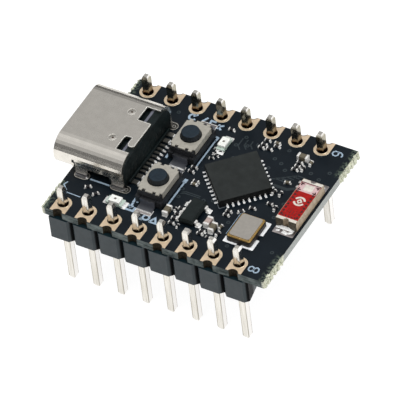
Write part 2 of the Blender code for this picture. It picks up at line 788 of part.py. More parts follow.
def lead_outline(side):
    """A regulator lead seen along Y: it leaves the body's side, bends down and ends in a foot."""
    t = LEAD_THICKNESS
    start = REGULATOR_SIZE[0] / 2 + GAP
    outline = [
        (start, LEAD_SHOULDER),
        (start + 0.15 * MM, LEAD_SHOULDER),
        (start + 0.20 * MM, STANDOFF + t),
        (LEAD_REACH, STANDOFF + t),
        (LEAD_REACH, STANDOFF),
        (start + 0.09 * MM, STANDOFF),
        (start + 0.04 * MM, LEAD_SHOULDER - t),
        (start, LEAD_SHOULDER - t),
    ]
    return [(side * x, z) for x, z in outline]


def make_regulator():
    """A five-lead regulator. Its body is widest at half height, where the leads leave it."""
    shape = bmesh.new()
    bmesh.ops.create_cube(shape, size=1)
    split = bmesh.ops.bisect_plane(
        shape, geom=shape.verts[:] + shape.edges[:] + shape.faces[:], plane_no=(0, 0, 1)
    )
    waist = {v for v in split["geom_cut"] if isinstance(v, bmesh.types.BMVert)}
    height = REGULATOR_TOP - 0.08 * MM
    size = (*REGULATOR_SIZE, height)
    bmesh.ops.scale(shape, vec=size, verts=shape.verts)
    ends = [v for v in shape.verts if v not in waist]
    draft = 0.10 * MM
    shrink = ((size[0] - 2 * draft) / size[0], (size[1] - 2 * draft) / size[1], 1)
    bmesh.ops.scale(shape, vec=shrink, verts=ends)
    bmesh.ops.translate(shape, vec=(0, 0, 0.08 * MM + height / 2), verts=shape.verts)
    place("regulator_body", mesh_of(shape, "regulator_body"), EPOXY, (*REGULATOR_AT, 0))
    places = [(-1, k) for k in (1, 0, -1)] + [(1, k) for k in (-1, 1)]
    for number, (side, row) in enumerate(places, 1):
        middle = row * LEAD_PITCH
        plate(
            f"regulator_lead_{number}",
            [lead_outline(side)],
            middle - LEAD_WIDTH / 2,
            middle + LEAD_WIDTH / 2,
            TERMINAL_METAL,
            (*REGULATOR_AT, 0),
            along="Y",
        )


def make_leds():
    places = {
        "power": ((-4.66 * MM, -5.62 * MM), 0),
        "status": ((0.68 * MM, 4.50 * MM), math.radians(90)),
    }
    base_top = 0.26 * MM
    for name, (at, turn) in places.items():
        slab(f"{name}_led_base", LED_SIZE, STANDOFF, base_top, LED_BODY, at, turn)
        lens_size = (LED_SIZE[0] - 0.5 * MM, LED_SIZE[1] - 0.02 * MM)
        lens = slab(f"{name}_led_lens", lens_size, base_top + GAP, LED_TOP, LED_LENS, at, turn)
        bevel(lens, 0.04 * MM)


def make_capacitors():
    places = [
        ((0.10 * MM, -4.78 * MM), 90),
        ((4.82 * MM, -4.98 * MM), 90),
        ((4.12 * MM, -4.52 * MM), 90),
        ((7.95 * MM, 5.87 * MM), 0),
    ]
    for number, (at, turn) in enumerate(places, 1):
        body = slab(
            f"capacitor_{number}",
            CAPACITOR_SIZE[:2],
            STANDOFF,
            CAPACITOR_SIZE[2],
            CAPACITOR_BODY,
            at,
            math.radians(turn),
        )
        bevel(body, 0.03 * MM)


make_board()
make_headers()
make_shell()
make_socket_housing()
make_tongue()
make_contacts()
make_switch("boot", BOOT_Y)
make_switch("reset", RESET_Y)
make_processor()
make_crystal()
make_antenna()
make_regulator()
make_leds()
make_capacitors()
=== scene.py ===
import math
import random

import bmesh
import bpy
from mathutils import Matrix, Vector


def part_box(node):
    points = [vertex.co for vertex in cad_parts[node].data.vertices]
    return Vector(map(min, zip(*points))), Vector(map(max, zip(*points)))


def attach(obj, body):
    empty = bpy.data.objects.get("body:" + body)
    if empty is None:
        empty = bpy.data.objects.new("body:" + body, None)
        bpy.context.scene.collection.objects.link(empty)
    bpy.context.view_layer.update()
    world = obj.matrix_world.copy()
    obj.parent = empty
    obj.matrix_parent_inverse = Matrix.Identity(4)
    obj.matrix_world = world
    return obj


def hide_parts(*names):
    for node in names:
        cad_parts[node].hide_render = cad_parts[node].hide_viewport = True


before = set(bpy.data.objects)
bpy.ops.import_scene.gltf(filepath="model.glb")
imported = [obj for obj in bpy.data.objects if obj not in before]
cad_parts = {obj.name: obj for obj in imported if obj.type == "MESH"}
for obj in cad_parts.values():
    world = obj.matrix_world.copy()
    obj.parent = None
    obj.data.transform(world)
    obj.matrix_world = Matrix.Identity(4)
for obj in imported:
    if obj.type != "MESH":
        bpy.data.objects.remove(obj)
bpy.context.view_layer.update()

MM = 0.001
PIN_NODES = [f"pin_{row}_{k}" for row in ("front", "back") for k in range(1, 9)]

# ---------------------------------------------------------------- board coordinates


def middle(node):
    low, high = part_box(node)
    return (Vector(low) + Vector(high)) / 2


# Pieces are modelled in millimetres from the middle of the pin grid, on the board's top face.
ORIGIN = sum((middle(name) for name in PIN_NODES), Vector()) / len(PIN_NODES)
ORIGIN.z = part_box("pcb")[1][2]


def local(node):
    """A CAD node's lowest and highest corners in board millimetres."""
    low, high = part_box(node)
    return (Vector(low) - ORIGIN) / MM, (Vector(high) - ORIGIN) / MM


def centre(node):
    low, high = local(node)
    return (low + high) / 2


def plan(node):
    """A CAD node's middle and half size seen from above: x, y, half_x, half_y."""
    low, high = local(node)
    return (low.x + high.x) / 2, (low.y + high.y) / 2, (high.x - low.x) / 2, (high.y - low.y) / 2


PCB_LOW, PCB_HIGH = local("pcb")
THICK = -PCB_LOW.z
PINS = [centre(name) for name in PIN_NODES]
PITCH = PINS[1].x - PINS[0].x
ROW = abs(PINS[0].y)
CHIP = centre("processor_chip")
SHELL_LOW, SHELL_HIGH = local("usb_shell")
USB_Y = (SHELL_LOW.y + SHELL_HIGH.y) / 2

# ---------------------------------------------------------------- materials


class Nodes:
    """Short calls for building one material's node tree."""

    def __init__(self, name):
        self.material = bpy.data.materials.new(name)
        self.material.use_nodes = True
        self.tree = self.material.node_tree
        self.shader = self.tree.nodes["Principled BSDF"]
        self.place = self.tree.nodes.new("ShaderNodeTexCoord").outputs["Object"]

    def link(self, source, socket):
        self.tree.links.new(source, socket)

    def give(self, name, value):
        """Sets one of the shader's sockets to a value, or links another socket to it."""
        socket = self.shader.inputs[name]
        if isinstance(value, bpy.types.NodeSocket):
            self.link(value, socket)
        else:
            socket.default_value = value

    def noise(self, size, detail=3.0, stretch=None):
        """Noise with features of about size millimetres; stretch lengthens them along X, Y and Z."""
        node = self.tree.nodes.new("ShaderNodeTexNoise")
        node.inputs["Scale"].default_value = 1 / (size * MM)
        node.inputs["Detail"].default_value = detail
        if stretch:
            mapping = self.tree.nodes.new("ShaderNodeMapping")
            mapping.inputs["Scale"].default_value = [1 / s for s in stretch]
            self.link(self.place, mapping.inputs["Vector"])
            self.link(mapping.outputs["Vector"], node.inputs["Vector"])
        else:
            self.link(self.place, node.inputs["Vector"])
        return node.outputs["Fac"]

    def cells(self, size):
        node = self.tree.nodes.new("ShaderNodeTexVoronoi")
        node.inputs["Scale"].default_value = 1 / (size * MM)
        self.link(self.place, node.inputs["Vector"])
        return node.outputs["Distance"]

    def ranged(self, source, low, high, to_low=0.0, to_high=1.0):
        node = self.tree.nodes.new("ShaderNodeMapRange")
        ends = {"From Min": low, "From Max": high, "To Min": to_low, "To Max": to_high}
        for name, value in ends.items():
            node.inputs[name].default_value = value
        self.link(source, node.inputs["Value"])
        return node.outputs["Result"]

    def patches(self, size, detail=4.0, low=0.3, high=0.7, to_low=0.0, to_high=1.0, stretch=None):
        """Noise spread over a range, harder at its edges as low and high come together."""
        return self.ranged(self.noise(size, detail, stretch), low, high, to_low, to_high)

    def mixed(self, fac, a, b):
        """A colour between a and b, each a colour or a socket."""
        node = self.tree.nodes.new("ShaderNodeMix")
        node.data_type = "RGBA"
        self.link(fac, node.inputs["Factor"])
        for name, value in (("A", a), ("B", b)):
            socket = next(s for s in node.inputs if s.name == name and s.type == "RGBA")
            if isinstance(value, bpy.types.NodeSocket):
                self.link(value, socket)
            else:
                socket.default_value = (*value, 1.0)
        return next(s for s in node.outputs if s.type == "RGBA")

    def maths(self, operation, a, b=0.0):
        node = self.tree.nodes.new("ShaderNodeMath")
        node.operation = operation
        for socket, value in zip(node.inputs, (a, b)):
            if isinstance(value, bpy.types.NodeSocket):
                self.link(value, socket)
            else:
                socket.default_value = value
        return node.outputs["Value"]

    def times(self, a, b):
        return self.maths("MULTIPLY", a, b)

    def away(self, value, place):
        """How far a value is from a place, either way."""
        return self.maths("ABSOLUTE", self.maths("SUBTRACT", value, place))

    def position(self):
        """The place on the object in the frame's metres, as separate X, Y and Z sockets."""
        node = self.tree.nodes.new("ShaderNodeSeparateXYZ")
        self.link(self.place, node.inputs["Vector"])
        return node.outputs

    def steepness(self, axis):
        """How squarely the surface faces along an axis, either way: 0 to 1."""
        geometry = self.tree.nodes.new("ShaderNodeNewGeometry")
        node = self.tree.nodes.new("ShaderNodeSeparateXYZ")
        self.link(geometry.outputs["Normal"], node.inputs["Vector"])
        return self.maths("ABSOLUTE", node.outputs[axis])

    def off_pin(self, x):
        """The distance along the row from the nearest pin's axis, in metres."""
        pitch = PITCH * MM
        first = PINS[0].x * MM + ORIGIN.x
        step = self.maths("FLOORED_MODULO", self.maths("ADD", x, pitch / 2 - first + 10 * pitch), pitch)
        return self.away(step, pitch / 2)

    def bump(self, height, depth):
        """Relief of about depth millimetres."""
        node = self.tree.nodes.new("ShaderNodeBump")
        node.inputs["Strength"].default_value = 1.0
        node.inputs["Distance"].default_value = depth * MM
        self.link(height, node.inputs["Height"])
        self.give("Normal", node.outputs["Normal"])


def shade(colour, factor):
    return tuple(min(c * factor, 1.0) for c in colour)


def surface(
    name, colour, roughness, metallic=0.0, mottle=(0.12, 0.5), grain=(0.05, 0.003), uneven=0.08,
    stretch=None, walls=1.0, **sockets,
):
    """A finish with mottled colour, uneven gloss and a fine grain.

    mottle is how much the colour varies and the size of its patches, and grain is the size and
    depth of the bumps, in millimetres. uneven is how much the roughness varies, and walls is how
    much of the colour's brightness the upright faces keep, a painted shade on the walls.
    """
    n = Nodes(name)
    amount, patch = mottle
    mottled = n.mixed(n.patches(patch), shade(colour, 1 - amount), shade(colour, 1 + amount))
    # Painted shade: upright faces get a darker copy of the colour.
    if walls < 1:
        level = n.ranged(n.steepness("Z"), 0.35, 0.75)
        mottled = n.mixed(level, shade(colour, walls), mottled)
    n.give("Base Color", mottled)
    smooth, rough = roughness - uneven, roughness + uneven
    n.give("Roughness", n.patches(patch * 0.6, 5.0, to_low=smooth, to_high=rough))
    n.give("Metallic", metallic)
    for socket, value in sockets.items():
        n.give(socket.replace("_", " "), value)
    size, depth = grain
    n.bump(n.noise(size, 3.0, stretch), depth)
    return n.material


def board_finish():
    """Solder mask on the faces; glass-fibre laminate on the cut edges, pale and torn at the ends, with a
    painted highlight making the plain cut paler on the ends.
    """
    n = Nodes("board_laminate")
    x, y, _ = n.position()
    side = n.ranged(n.steepness("Z"), 0.7, 0.3)
    mask = n.mixed(n.patches(1.6, 5.0, 0.35, 0.65), (0.0030, 0.0066, 0.0105), (0.0050, 0.0094, 0.0142))
    fine, coarse = n.noise(0.10, 2.0, (14.0, 14.0, 0.8)), n.noise(0.7, 3.0)
    plies = n.maths("ADD", n.times(fine, 0.45), n.times(coarse, 0.55))
    cut = n.mixed(n.ranged(plies, 0.35, 0.65), (0.018, 0.028, 0.029), (0.165, 0.192, 0.187))
    fibre = n.mixed(n.patches(0.09, 4.0, 0.35, 0.65), (0.38, 0.39, 0.29), (0.80, 0.80, 0.66))
    span = (PCB_HIGH.x - PCB_LOW.x) / 2 * MM
    off_middle = n.away(x, centre("pcb").x * MM + ORIGIN.x)
    torn_side = n.ranged(n.maths("ABSOLUTE", y), 5.0 * MM, 5.3 * MM)
    ends = n.ranged(off_middle, span - 0.4 * MM, span - 0.2 * MM)
    # Painted highlight: the plain cut faces at the board's ends are painted paler than the cut along its
    # sides.
    edge_lit_ends = n.mixed(ends, cut, (0.36, 0.375, 0.36))
    edge = n.mixed(n.times(ends, torn_side), edge_lit_ends, fibre)
    near_end = n.times(n.ranged(off_middle, span - 0.8 * MM, span - 0.2 * MM), torn_side)
    frayed = n.times(near_end, n.patches(0.22, 4.0, 0.46, 0.60))
    bruised = n.mixed(frayed, mask, (0.13, 0.165, 0.125))
    torn = n.times(n.ranged(off_middle, span - 0.22 * MM, span - 0.12 * MM), torn_side)
    top = n.mixed(n.times(torn, n.patches(0.12, 3.0, 0.3, 0.5)), bruised, fibre)
    n.give("Base Color", n.mixed(side, top, edge))
    gloss = n.patches(0.9, 4.0, to_low=0.30, to_high=0.42)
    n.give("Roughness", n.maths("ADD", gloss, n.times(side, 0.45)))
    n.give("Specular IOR Level", 0.22)
    n.bump(n.times(n.noise(0.14, 4.0), n.ranged(side, 0.0, 1.0, 0.25, 3.0)), 0.006)
    return n.material


def antenna_finish():
    """Beige ceramic, browner towards the metallised ends."""
    n = Nodes("antenna_ceramic")
    low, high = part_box("chip_antenna")
    half = (high[1] - low[1]) / 2
    from_middle = n.away(n.position()["Y"], (high[1] + low[1]) / 2)
    end = n.ranged(from_middle, half - 0.06 * MM, half - 0.01 * MM)
    body = n.mixed(n.patches(0.35, 5.0), (0.27, 0.205, 0.135), (0.42, 0.335, 0.235))
    metal = n.mixed(n.patches(0.22), (0.035, 0.028, 0.017), (0.115, 0.095, 0.060))
    n.give("Base Color", n.mixed(end, body, metal))
    n.give("Roughness", n.patches(0.2, to_low=0.38, to_high=0.6))
    n.bump(n.noise(0.05), 0.004)
    return n.material


def print_finish():
    """Red glaze on the antenna, with darker pinholes and streaks across it."""
    n = Nodes("antenna_print")
    streaks = n.patches(0.12, 3.0, 0.35, 0.7, stretch=(4.0, 0.7, 1.0))
    base = n.mixed(streaks, (0.240, 0.007, 0.006), (0.460, 0.013, 0.010))
    holes = n.ranged(n.cells(0.34), 0.10, 0.17)
    n.give("Base Color", n.mixed(holes, (0.12, 0.006, 0.006), base))
    n.give("Specular IOR Level", 0.2)
    n.give("Roughness", n.patches(0.25, to_low=0.30, to_high=0.48))
    n.bump(n.noise(0.07), 0.004)
    return n.material


def header_finish():
    """Black moulded plastic, with painted shade making it darkest in the grooves between the ways."""
    n = Nodes("header_plastic")
    half = PITCH * MM / 2
    groove_shade = n.ranged(n.off_pin(n.position()["X"]), half - 0.24 * MM, half - 0.14 * MM)
    sheet = n.mixed(n.patches(0.9), (0.0030, 0.0135, 0.0185), (0.0050, 0.0170, 0.0230))
    # Painted shade: the grooves get a near-black colour and little gloss.
    n.give("Base Color", n.mixed(groove_shade, sheet, (0.0008, 0.0012, 0.0018)))
    n.give("Specular IOR Level", n.ranged(groove_shade, 0.0, 1.0, 0.47, 0.04))
    n.give("Roughness", n.patches(0.5, 5.0, to_low=0.33, to_high=0.47))
    n.bump(n.noise(0.045), 0.004)
    return n.material


def shell_finish():
    """Brushed nickel, duller low on the legs where the solder has crept up."""
    n = Nodes("shell_nickel")
    nickel = (0.765, 0.73, 0.665)
    n.give("Base Color", n.mixed(n.patches(0.7), shade(nickel, 0.95), shade(nickel, 1.05)))
    n.give("Roughness", n.patches(0.42, 5.0, to_low=0.22, to_high=0.28))
    height = n.position()["Z"]
    n.give("Metallic", n.ranged(height, ORIGIN.z + 0.5 * MM, ORIGIN.z + 1.2 * MM, 0.62, 1.0))
    n.bump(n.noise(0.045), 0.0004)
    return n.material


def pin_finish():
    """Drawn tin: darker along the corners, paler on the sheared faces, darker brown where it stands in the
    board, and painted shade on the back row above the board.
    """
    n = Nodes("pin_tin")
    x, y, z = n.position()
    off_y = n.away(n.away(y, ORIGIN.y), ROW * MM)
    near_x, near_y = (n.ranged(off, 0.245 * MM, 0.300 * MM) for off in (n.off_pin(x), off_y))
    streaks = n.patches(0.13, 3.0, 0.35, 0.65, stretch=(1.0, 1.0, 20.0))
    rolled = n.mixed(streaks, (0.68, 0.65, 0.585), (0.83, 0.805, 0.75))
    tin = n.mixed(n.ranged(n.steepness("X"), 0.6, 0.8), rolled, (0.88, 0.86, 0.83))
    corner_dark = n.patches(0.9, 2.0, 0.3, 0.6, 0.45, 1.0, (1.0, 1.0, 3.0))
    # Darker along the pin's corners, in patches.
    tin = n.mixed(n.times(n.times(near_x, near_y), corner_dark), tin, (0.27, 0.235, 0.17))
    height = n.maths("SUBTRACT", z, ORIGIN.z)
    back_row = n.ranged(y, -1.0 * MM, 1.0 * MM)
    above = n.ranged(height, 0.0, 0.4 * MM)
    below_tip = n.ranged(height, 2.05 * MM, 1.85 * MM)
    # Painted shade: the back row's pins are darker from just above the board to below the tip, standing in
    # for the dark board reflected in their faces.
    back_row_shade = n.mixed(streaks, (0.30, 0.275, 0.205), (0.44, 0.41, 0.33))
    tin = n.mixed(n.times(back_row, n.times(above, below_tip)), tin, back_row_shade)
    # Darker brown where the pin stands in the board and just above it, darker still on the back row.
    sunk = n.maths("SUBTRACT", height, n.times(back_row, 0.4 * MM))
    in_hole = n.ranged(sunk, 0.15 * MM, -0.20 * MM)
    over_strip = n.ranged(height, -1.8 * MM, -1.2 * MM)
    low_brown = n.mixed(back_row, (0.34, 0.235, 0.13), (0.16, 0.085, 0.035))
    n.give("Base Color", n.mixed(n.times(in_hole, over_strip), tin, low_brown))
    n.give("Roughness", n.patches(0.3, 5.0, to_low=0.13, to_high=0.23))
    n.give("Metallic", 1.0)
    n.bump(n.noise(0.09, 3.0, (1.0, 1.0, 14.0)), 0.0010)
    return n.material


BOARD = board_finish()
HEADER = header_finish()
PIN = pin_finish()
SHELL = shell_finish()
ANTENNA = antenna_finish()
PRINT = print_finish()

# The board's own metal, print and torn fibre.
TRACE = surface("masked_copper", (0.0150, 0.0240, 0.0290), 0.33, mottle=(0.12, 0.8), grain=(0.09, 0.003))
FIBRE = surface("torn_glass_fibre", (0.52, 0.54, 0.42), 0.8, mottle=(0.55, 0.22), grain=(0.05, 0.02))
PAD = surface("pad_gold", (0.90, 0.71, 0.50), 0.38, 0.6, mottle=(0.07, 0.3), grain=(0.05, 0.005))
# Painted highlight: a paler, less metallic gold for the beads round the holes and the pads' inner ends.
PAD_RIM_HIGHLIGHT = surface("pad_rim_highlight_gold", (0.90, 0.76, 0.55), 0.34, 0.5, mottle=(0.10, 0.3), grain=(0.06, 0.003))
WHITE_PAD = surface("levelled_tin", (0.86, 0.87, 0.88), 0.42, 0.1, mottle=(0.10, 0.4), grain=(0.15, 0.004))
# Painted shade: the plating inside the holes is painted dark brown for the shade in them.
BARREL_SHADE = surface("plated_barrel_shade", (0.050, 0.023, 0.008), 0.60, 0.4, mottle=(0.3, 0.2), grain=(0.06, 0.01))
# Painted shade: the cut holes' plating is painted near black, flecked with gold.
EDGE_BARREL_SHADE = surface(
    "edge_barrel_shade", (0.020, 0.015, 0.008), 0.66, 0.2, mottle=(0.92, 0.13), grain=(0.07, 0.012),
    Specular_IOR_Level=0.15,
)
SILK = surface("legend_ink", (0.33, 0.43, 0.53), 0.62, mottle=(0.16, 0.18), grain=(0.05, 0.006))
CORNER_INK = surface("corner_ink", (0.15, 0.165, 0.18), 0.6, mottle=(0.2, 0.2))

# Solder and tinned metal.
SOLDER = surface(
    "solder", (0.92, 0.92, 0.90), 0.30, 0.35, mottle=(0.06, 0.25), grain=(0.12, 0.003), uneven=0.10
)
DULL_SOLDER = surface(
    "dull_solder", (0.50, 0.455, 0.445), 0.36, 1.0, mottle=(0.14, 0.4), grain=(0.20, 0.003), uneven=0.06
)
END_TIN = surface("end_tin", (0.88, 0.87, 0.84), 0.38, 0.4, mottle=(0.07, 0.2), grain=(0.08, 0.002))
RIM_TIN = surface("rim_tin", (0.62, 0.60, 0.55), 0.34, 0.6, mottle=(0.15, 0.3), grain=(0.08, 0.003))
# Painted shade: the slot rings' tin is painted near black.
RING_TIN_SHADE = surface("ring_tin_shade", (0.085, 0.082, 0.075), 0.36, 1.0, mottle=(0.20, 0.3), grain=(0.10, 0.004))
# Painted shade: a darker tin for the contact tails, standing in for the shell's shadow over them.
TAILS_SHADE = surface("tail_tin_shade", (0.40, 0.385, 0.34), 0.36, 1.0, mottle=(0.15, 0.25), grain=(0.08, 0.002))
TERMINAL = surface(
    "terminal_tin", (0.44, 0.43, 0.435), 0.30, 1.0, mottle=(0.05, 0.6), grain=(0.25, 0.0012), uneven=0.03
)

# The socket and the switches.
SOCKET = surface(
    "socket_plastic", (0.0055, 0.0105, 0.0110), 0.45, mottle=(0.25, 0.6), Specular_IOR_Level=0.3
)
# Painted highlight: a lighter blue-grey for the moulding's front edge.
PLASTIC_HIGHLIGHT = surface("moulding_edge_highlight", (0.120, 0.125, 0.155), 0.4, mottle=(0.15, 0.4), grain=(0.05, 0.002))
# Painted highlight: a paler, half-metallic copy of the nickel for the shell's rounded edges.
HIGHLIGHT_EDGE = surface(
    "painted_highlight_edge", (0.80, 0.78, 0.72), 0.32, 0.5, mottle=(0.05, 0.3), grain=(0.05, 0.002)
)
CONTACT = surface("contact_gold", (0.80, 0.56, 0.22), 0.25, 1.0, mottle=(0.06, 0.3), grain=(0.03, 0.002))
BASE = surface("switch_plastic", (0.013, 0.014, 0.016), 0.50, mottle=(0.2, 0.5), grain=(0.04, 0.004))
COVER = surface(
    "cover_steel", (0.520, 0.495, 0.430), 0.40, 0.5, mottle=(0.08, 0.4), grain=(0.05, 0.0018), uneven=0.06
)
# Painted shade: walls=0.30 darkens the plungers' upright sides.
BUTTON = surface(
    "button_plastic", (0.011, 0.021, 0.031), 0.55, mottle=(0.20, 0.35), grain=(0.035, 0.005), walls=0.30,
    Specular_IOR_Level=0.35,
)
SPRING = surface("dome_steel", (0.55, 0.55, 0.56), 0.25, 1.0, mottle=(0.05, 0.5), grain=(0.04, 0.002))
SWITCH_TIN = surface(
    "switch_terminal_tin", (0.25, 0.26, 0.285), 0.32, 1.0, mottle=(0.06, 0.8), grain=(0.25, 0.0012),
    uneven=0.03, stretch=(6.0, 1.0, 1.0),
)

# Chips, crystal, antenna, lamps and passive components.
# Painted shade: walls=0.15 darkens the chip's upright sides.
EPOXY = surface(
    "chip_epoxy", (0.0200, 0.0232, 0.0225), 0.62, mottle=(0.20, 0.9), grain=(0.035, 0.006), walls=0.15,
    Specular_IOR_Level=0.3,
)
REGULATOR = surface(
    "regulator_epoxy", (0.0105, 0.0150, 0.0150), 0.55, mottle=(0.18, 0.5), grain=(0.035, 0.005),
    Specular_IOR_Level=0.25,
)
CRYSTAL = surface("crystal_ceramic", (0.020, 0.016, 0.013), 0.5, mottle=(0.2, 0.5), grain=(0.05, 0.004))
GOLD = surface(
    "seal_gold", (0.36, 0.235, 0.085), 0.46, 1.0, mottle=(0.05, 0.6), grain=(0.30, 0.0005), uneven=0.03
)
GOLD_EDGE = surface(
    "seal_gold_edge", (0.78, 0.53, 0.19), 0.36, 0.6, mottle=(0.05, 0.5), grain=(0.2, 0.0005)
)
LID = surface("lid_metal", (0.69, 0.65, 0.585), 0.38, 1.0, mottle=(0.05, 0.35), grain=(0.03, 0.003))
CREAM = surface("antenna_cream", (0.66, 0.62, 0.55), 0.45, mottle=(0.12, 0.25), grain=(0.06, 0.008))
PINK = surface("antenna_window", (0.60, 0.42, 0.42), 0.45, mottle=(0.14, 0.25), grain=(0.06, 0.005))
DARK_PRINT = surface(
    "antenna_dark_print", (0.050, 0.005, 0.006), 0.5, mottle=(0.25, 0.5), grain=(0.06, 0.003)
)
LED_BODY = surface("led_body", (0.46, 0.55, 0.49), 0.5, mottle=(0.10, 0.25), grain=(0.05, 0.005))
LED_LENS = surface(
    "led_resin", (0.86, 0.87, 0.83), 0.25, mottle=(0.08, 0.25), grain=(0.08, 0.004),
    Coat_Weight=0.5, Coat_Roughness=0.1,
)
LED_DIE = surface("led_die", (0.16, 0.14, 0.12), 0.4, mottle=(0.15, 0.5))
BROWN = surface("capacitor_ceramic", (0.125, 0.108, 0.074), 0.46, mottle=(0.16, 0.3), grain=(0.05, 0.006))
PALE_CERAMIC = surface("pale_ceramic", (0.42, 0.33, 0.30), 0.45, mottle=(0.16, 0.3), grain=(0.05, 0.005))
BLACK = surface("resistor_glass", (0.016, 0.016, 0.018), 0.30, mottle=(0.2, 0.5), grain=(0.05, 0.004))

# ---------------------------------------------------------------- shapes, in millimetres


def arc(x, y, radius, start, end, steps=6):
    angles = [math.radians(start + (end - start) * k / steps) for k in range(steps + 1)]
    return [(x + radius * math.cos(a), y + radius * math.sin(a)) for a in angles]


def circle(x, y, radius, steps=24):
    return arc(x, y, radius, 0, 360, steps)[:-1]


def rounded(x, y, half_x, half_y, radius, turn=0.0, steps=3):
    """A rectangle with round corners, about a middle, turned by degrees."""
    radius = min(radius, half_x * 0.99, half_y * 0.99)
    u, v = half_x - radius, half_y - radius
    corners = ((u, -v, -90), (u, v, 0), (-u, v, 90), (-u, -v, 180))
    points = [p for u, v, angle in corners for p in arc(u, v, radius, angle, angle + 90, steps)]
    return turned(points, x, y, turn)


def turned(points, x, y, turn):
    """Points turned by degrees about 0, 0 and then carried to x, y."""
    c, s = math.cos(math.radians(turn)), math.sin(math.radians(turn))
    return [(x + u * c - v * s, y + u * s + v * c) for u, v in points]


def placed(u, v, x, y, turn):
    """One point, turned and carried in the same way."""
    return turned([(u, v)], x, y, turn)[0]


def loft(shape, rings):
    """A closed skin through rings of the same number of points, with flat ends."""
    made = [[shape.verts.new(p) for p in ring] for ring in rings]
    for lower, upper in zip(made, made[1:]):
        for k in range(len(lower)):
            j = (k + 1) % len(lower)
            shape.faces.new((lower[k], lower[j], upper[j], upper[k]))
    shape.faces.new(reversed(made[0]))
    shape.faces.new(made[-1])


def block(shape, x, y, half_x, half_y, low, high, turn=0.0, corner=0.03, edge=0.03):
    """A body with round upright corners and softened top edges."""
    steps = [(low, 0.0), (high - edge, 0.0), (high - edge * 0.3, edge * 0.3), (high, edge)]
    rings = []
    for z, inset in steps:
        outline = rounded(x, y, half_x - inset, half_y - inset, corner, turn)
        rings.append([(u, v, z) for u, v in outline])
    loft(shape, rings)


def fillet(shape, x, y, base, top, low, high, turn=0.0, shift=(0.0, 0.0), corner=0.08):
    """Solder: wide where it wets the pad, drawn up in a hollow curve to a smaller top."""
    rings = []
    for k in range(5):
        t = k / 4
        spread = (1 - t) ** 2
        half_x = top[0] + (base[0] - top[0]) * spread
        half_y = top[1] + (base[1] - top[1]) * spread
        middle_x, middle_y = placed(shift[0] * (1 - spread), shift[1] * (1 - spread), x, y, turn)
        outline = rounded(middle_x, middle_y, half_x, half_y, corner, turn)
        rings.append([(u, v, low + (high - low) * t) for u, v in outline])
    loft(shape, rings)


def ribbon(shape, points, width, low, high):
    """A flat strip of one width along a bent line, with mitred bends."""
    points = [Vector(p) for p in points]
    sides = []
    for k, here in enumerate(points):
        before = (here - points[k - 1]).normalized() if k else None
        after = (points[k + 1] - here).normalized() if k + 1 < len(points) else None
        along = ((before or after) + (after or before)).normalized()
        across = Vector((-along.y, along.x))
        straight = Vector((-(after or before).y, (after or before).x))
        reach = width / 2 / max(across.dot(straight), 0.35)
        sides.append((here + across * reach, here - across * reach))
    upper = [(shape.verts.new((*a, high)), shape.verts.new((*b, high))) for a, b in sides]
    lower = [(shape.verts.new((*a, low)), shape.verts.new((*b, low))) for a, b in sides]
    for k in range(len(sides) - 1):
        (a, b), (c, d) = upper[k], upper[k + 1]
        (e, f), (g, h) = lower[k], lower[k + 1]
        for corners in ((a, b, d, c), (e, g, h, f), (a, c, g, e), (b, f, h, d)):
            shape.faces.new(corners)
    for (a, b), (e, f) in ((upper[0], lower[0]), (upper[-1], lower[-1])):
        shape.faces.new((a, e, f, b))


def bead(shape, loop, radius, z, closed=True, sides=6):
    """A round bead of solder or print along a line."""
    points = [Vector(p) for p in loop]
    count = len(points)
    rings = []
    for k, here in enumerate(points):
        before = points[k - 1] if closed or k else here
        after = points[(k + 1) % count] if closed or k + 1 < count else here
        along = (after - before).normalized()
        across = Vector((-along.y, along.x))
        ring = []
        for j in range(sides):
            angle = 2 * math.pi * j / sides
            flat = here + across * radius * math.cos(angle)
            ring.append(shape.verts.new((flat.x, flat.y, z + radius * math.sin(angle))))
        rings.append(ring)
    spans = range(count) if closed else range(count - 1)
    for k in spans:
        one, two = rings[k], rings[(k + 1) % count]
        for j in range(sides):
            i = (j + 1) % sides
            shape.faces.new((one[j], one[i], two[i], two[j]))
    if not closed:
        shape.faces.new(reversed(rings[0]))
        shape.faces.new(rings[-1])


def lathe(shape, x, y, profile, steps=24):
    """A turned body about an upright axis, from a closed (radius, height) profile."""
    rings = [[(u, v, z) for u, v in circle(x, y, max(r, 0.004), steps)] for r, z in profile]
    loft(shape, rings)


def plates(loops, low, high):
    """Flat outlines, filled with each one inside another as a hole, and given a thickness."""
    curve = bpy.data.curves.new("outline", "CURVE")
    curve.dimensions = "2D"
    curve.fill_mode = "BOTH"
    curve.extrude = (high - low) / 2
    for loop in loops:
        spline = curve.splines.new("POLY")
        spline.points.add(len(loop) - 1)
        for point, (x, y) in zip(spline.points, loop):
            point.co = (x, y, 0, 1)
        spline.use_cyclic_u = True
    guide = bpy.data.objects.new("outline", curve)
    bpy.context.scene.collection.objects.link(guide)
    graph = bpy.context.evaluated_depsgraph_get()
    mesh = bpy.data.meshes.new_from_object(guide.evaluated_get(graph))
    bpy.data.objects.remove(guide)
    bpy.data.curves.remove(curve)
    shape = bmesh.new()
    shape.from_mesh(mesh)
    bpy.data.meshes.remove(mesh)
    bmesh.ops.remove_doubles(shape, verts=shape.verts, dist=1e-4)
    bmesh.ops.translate(shape, vec=(0, 0, (low + high) / 2), verts=shape.verts)
    return shape


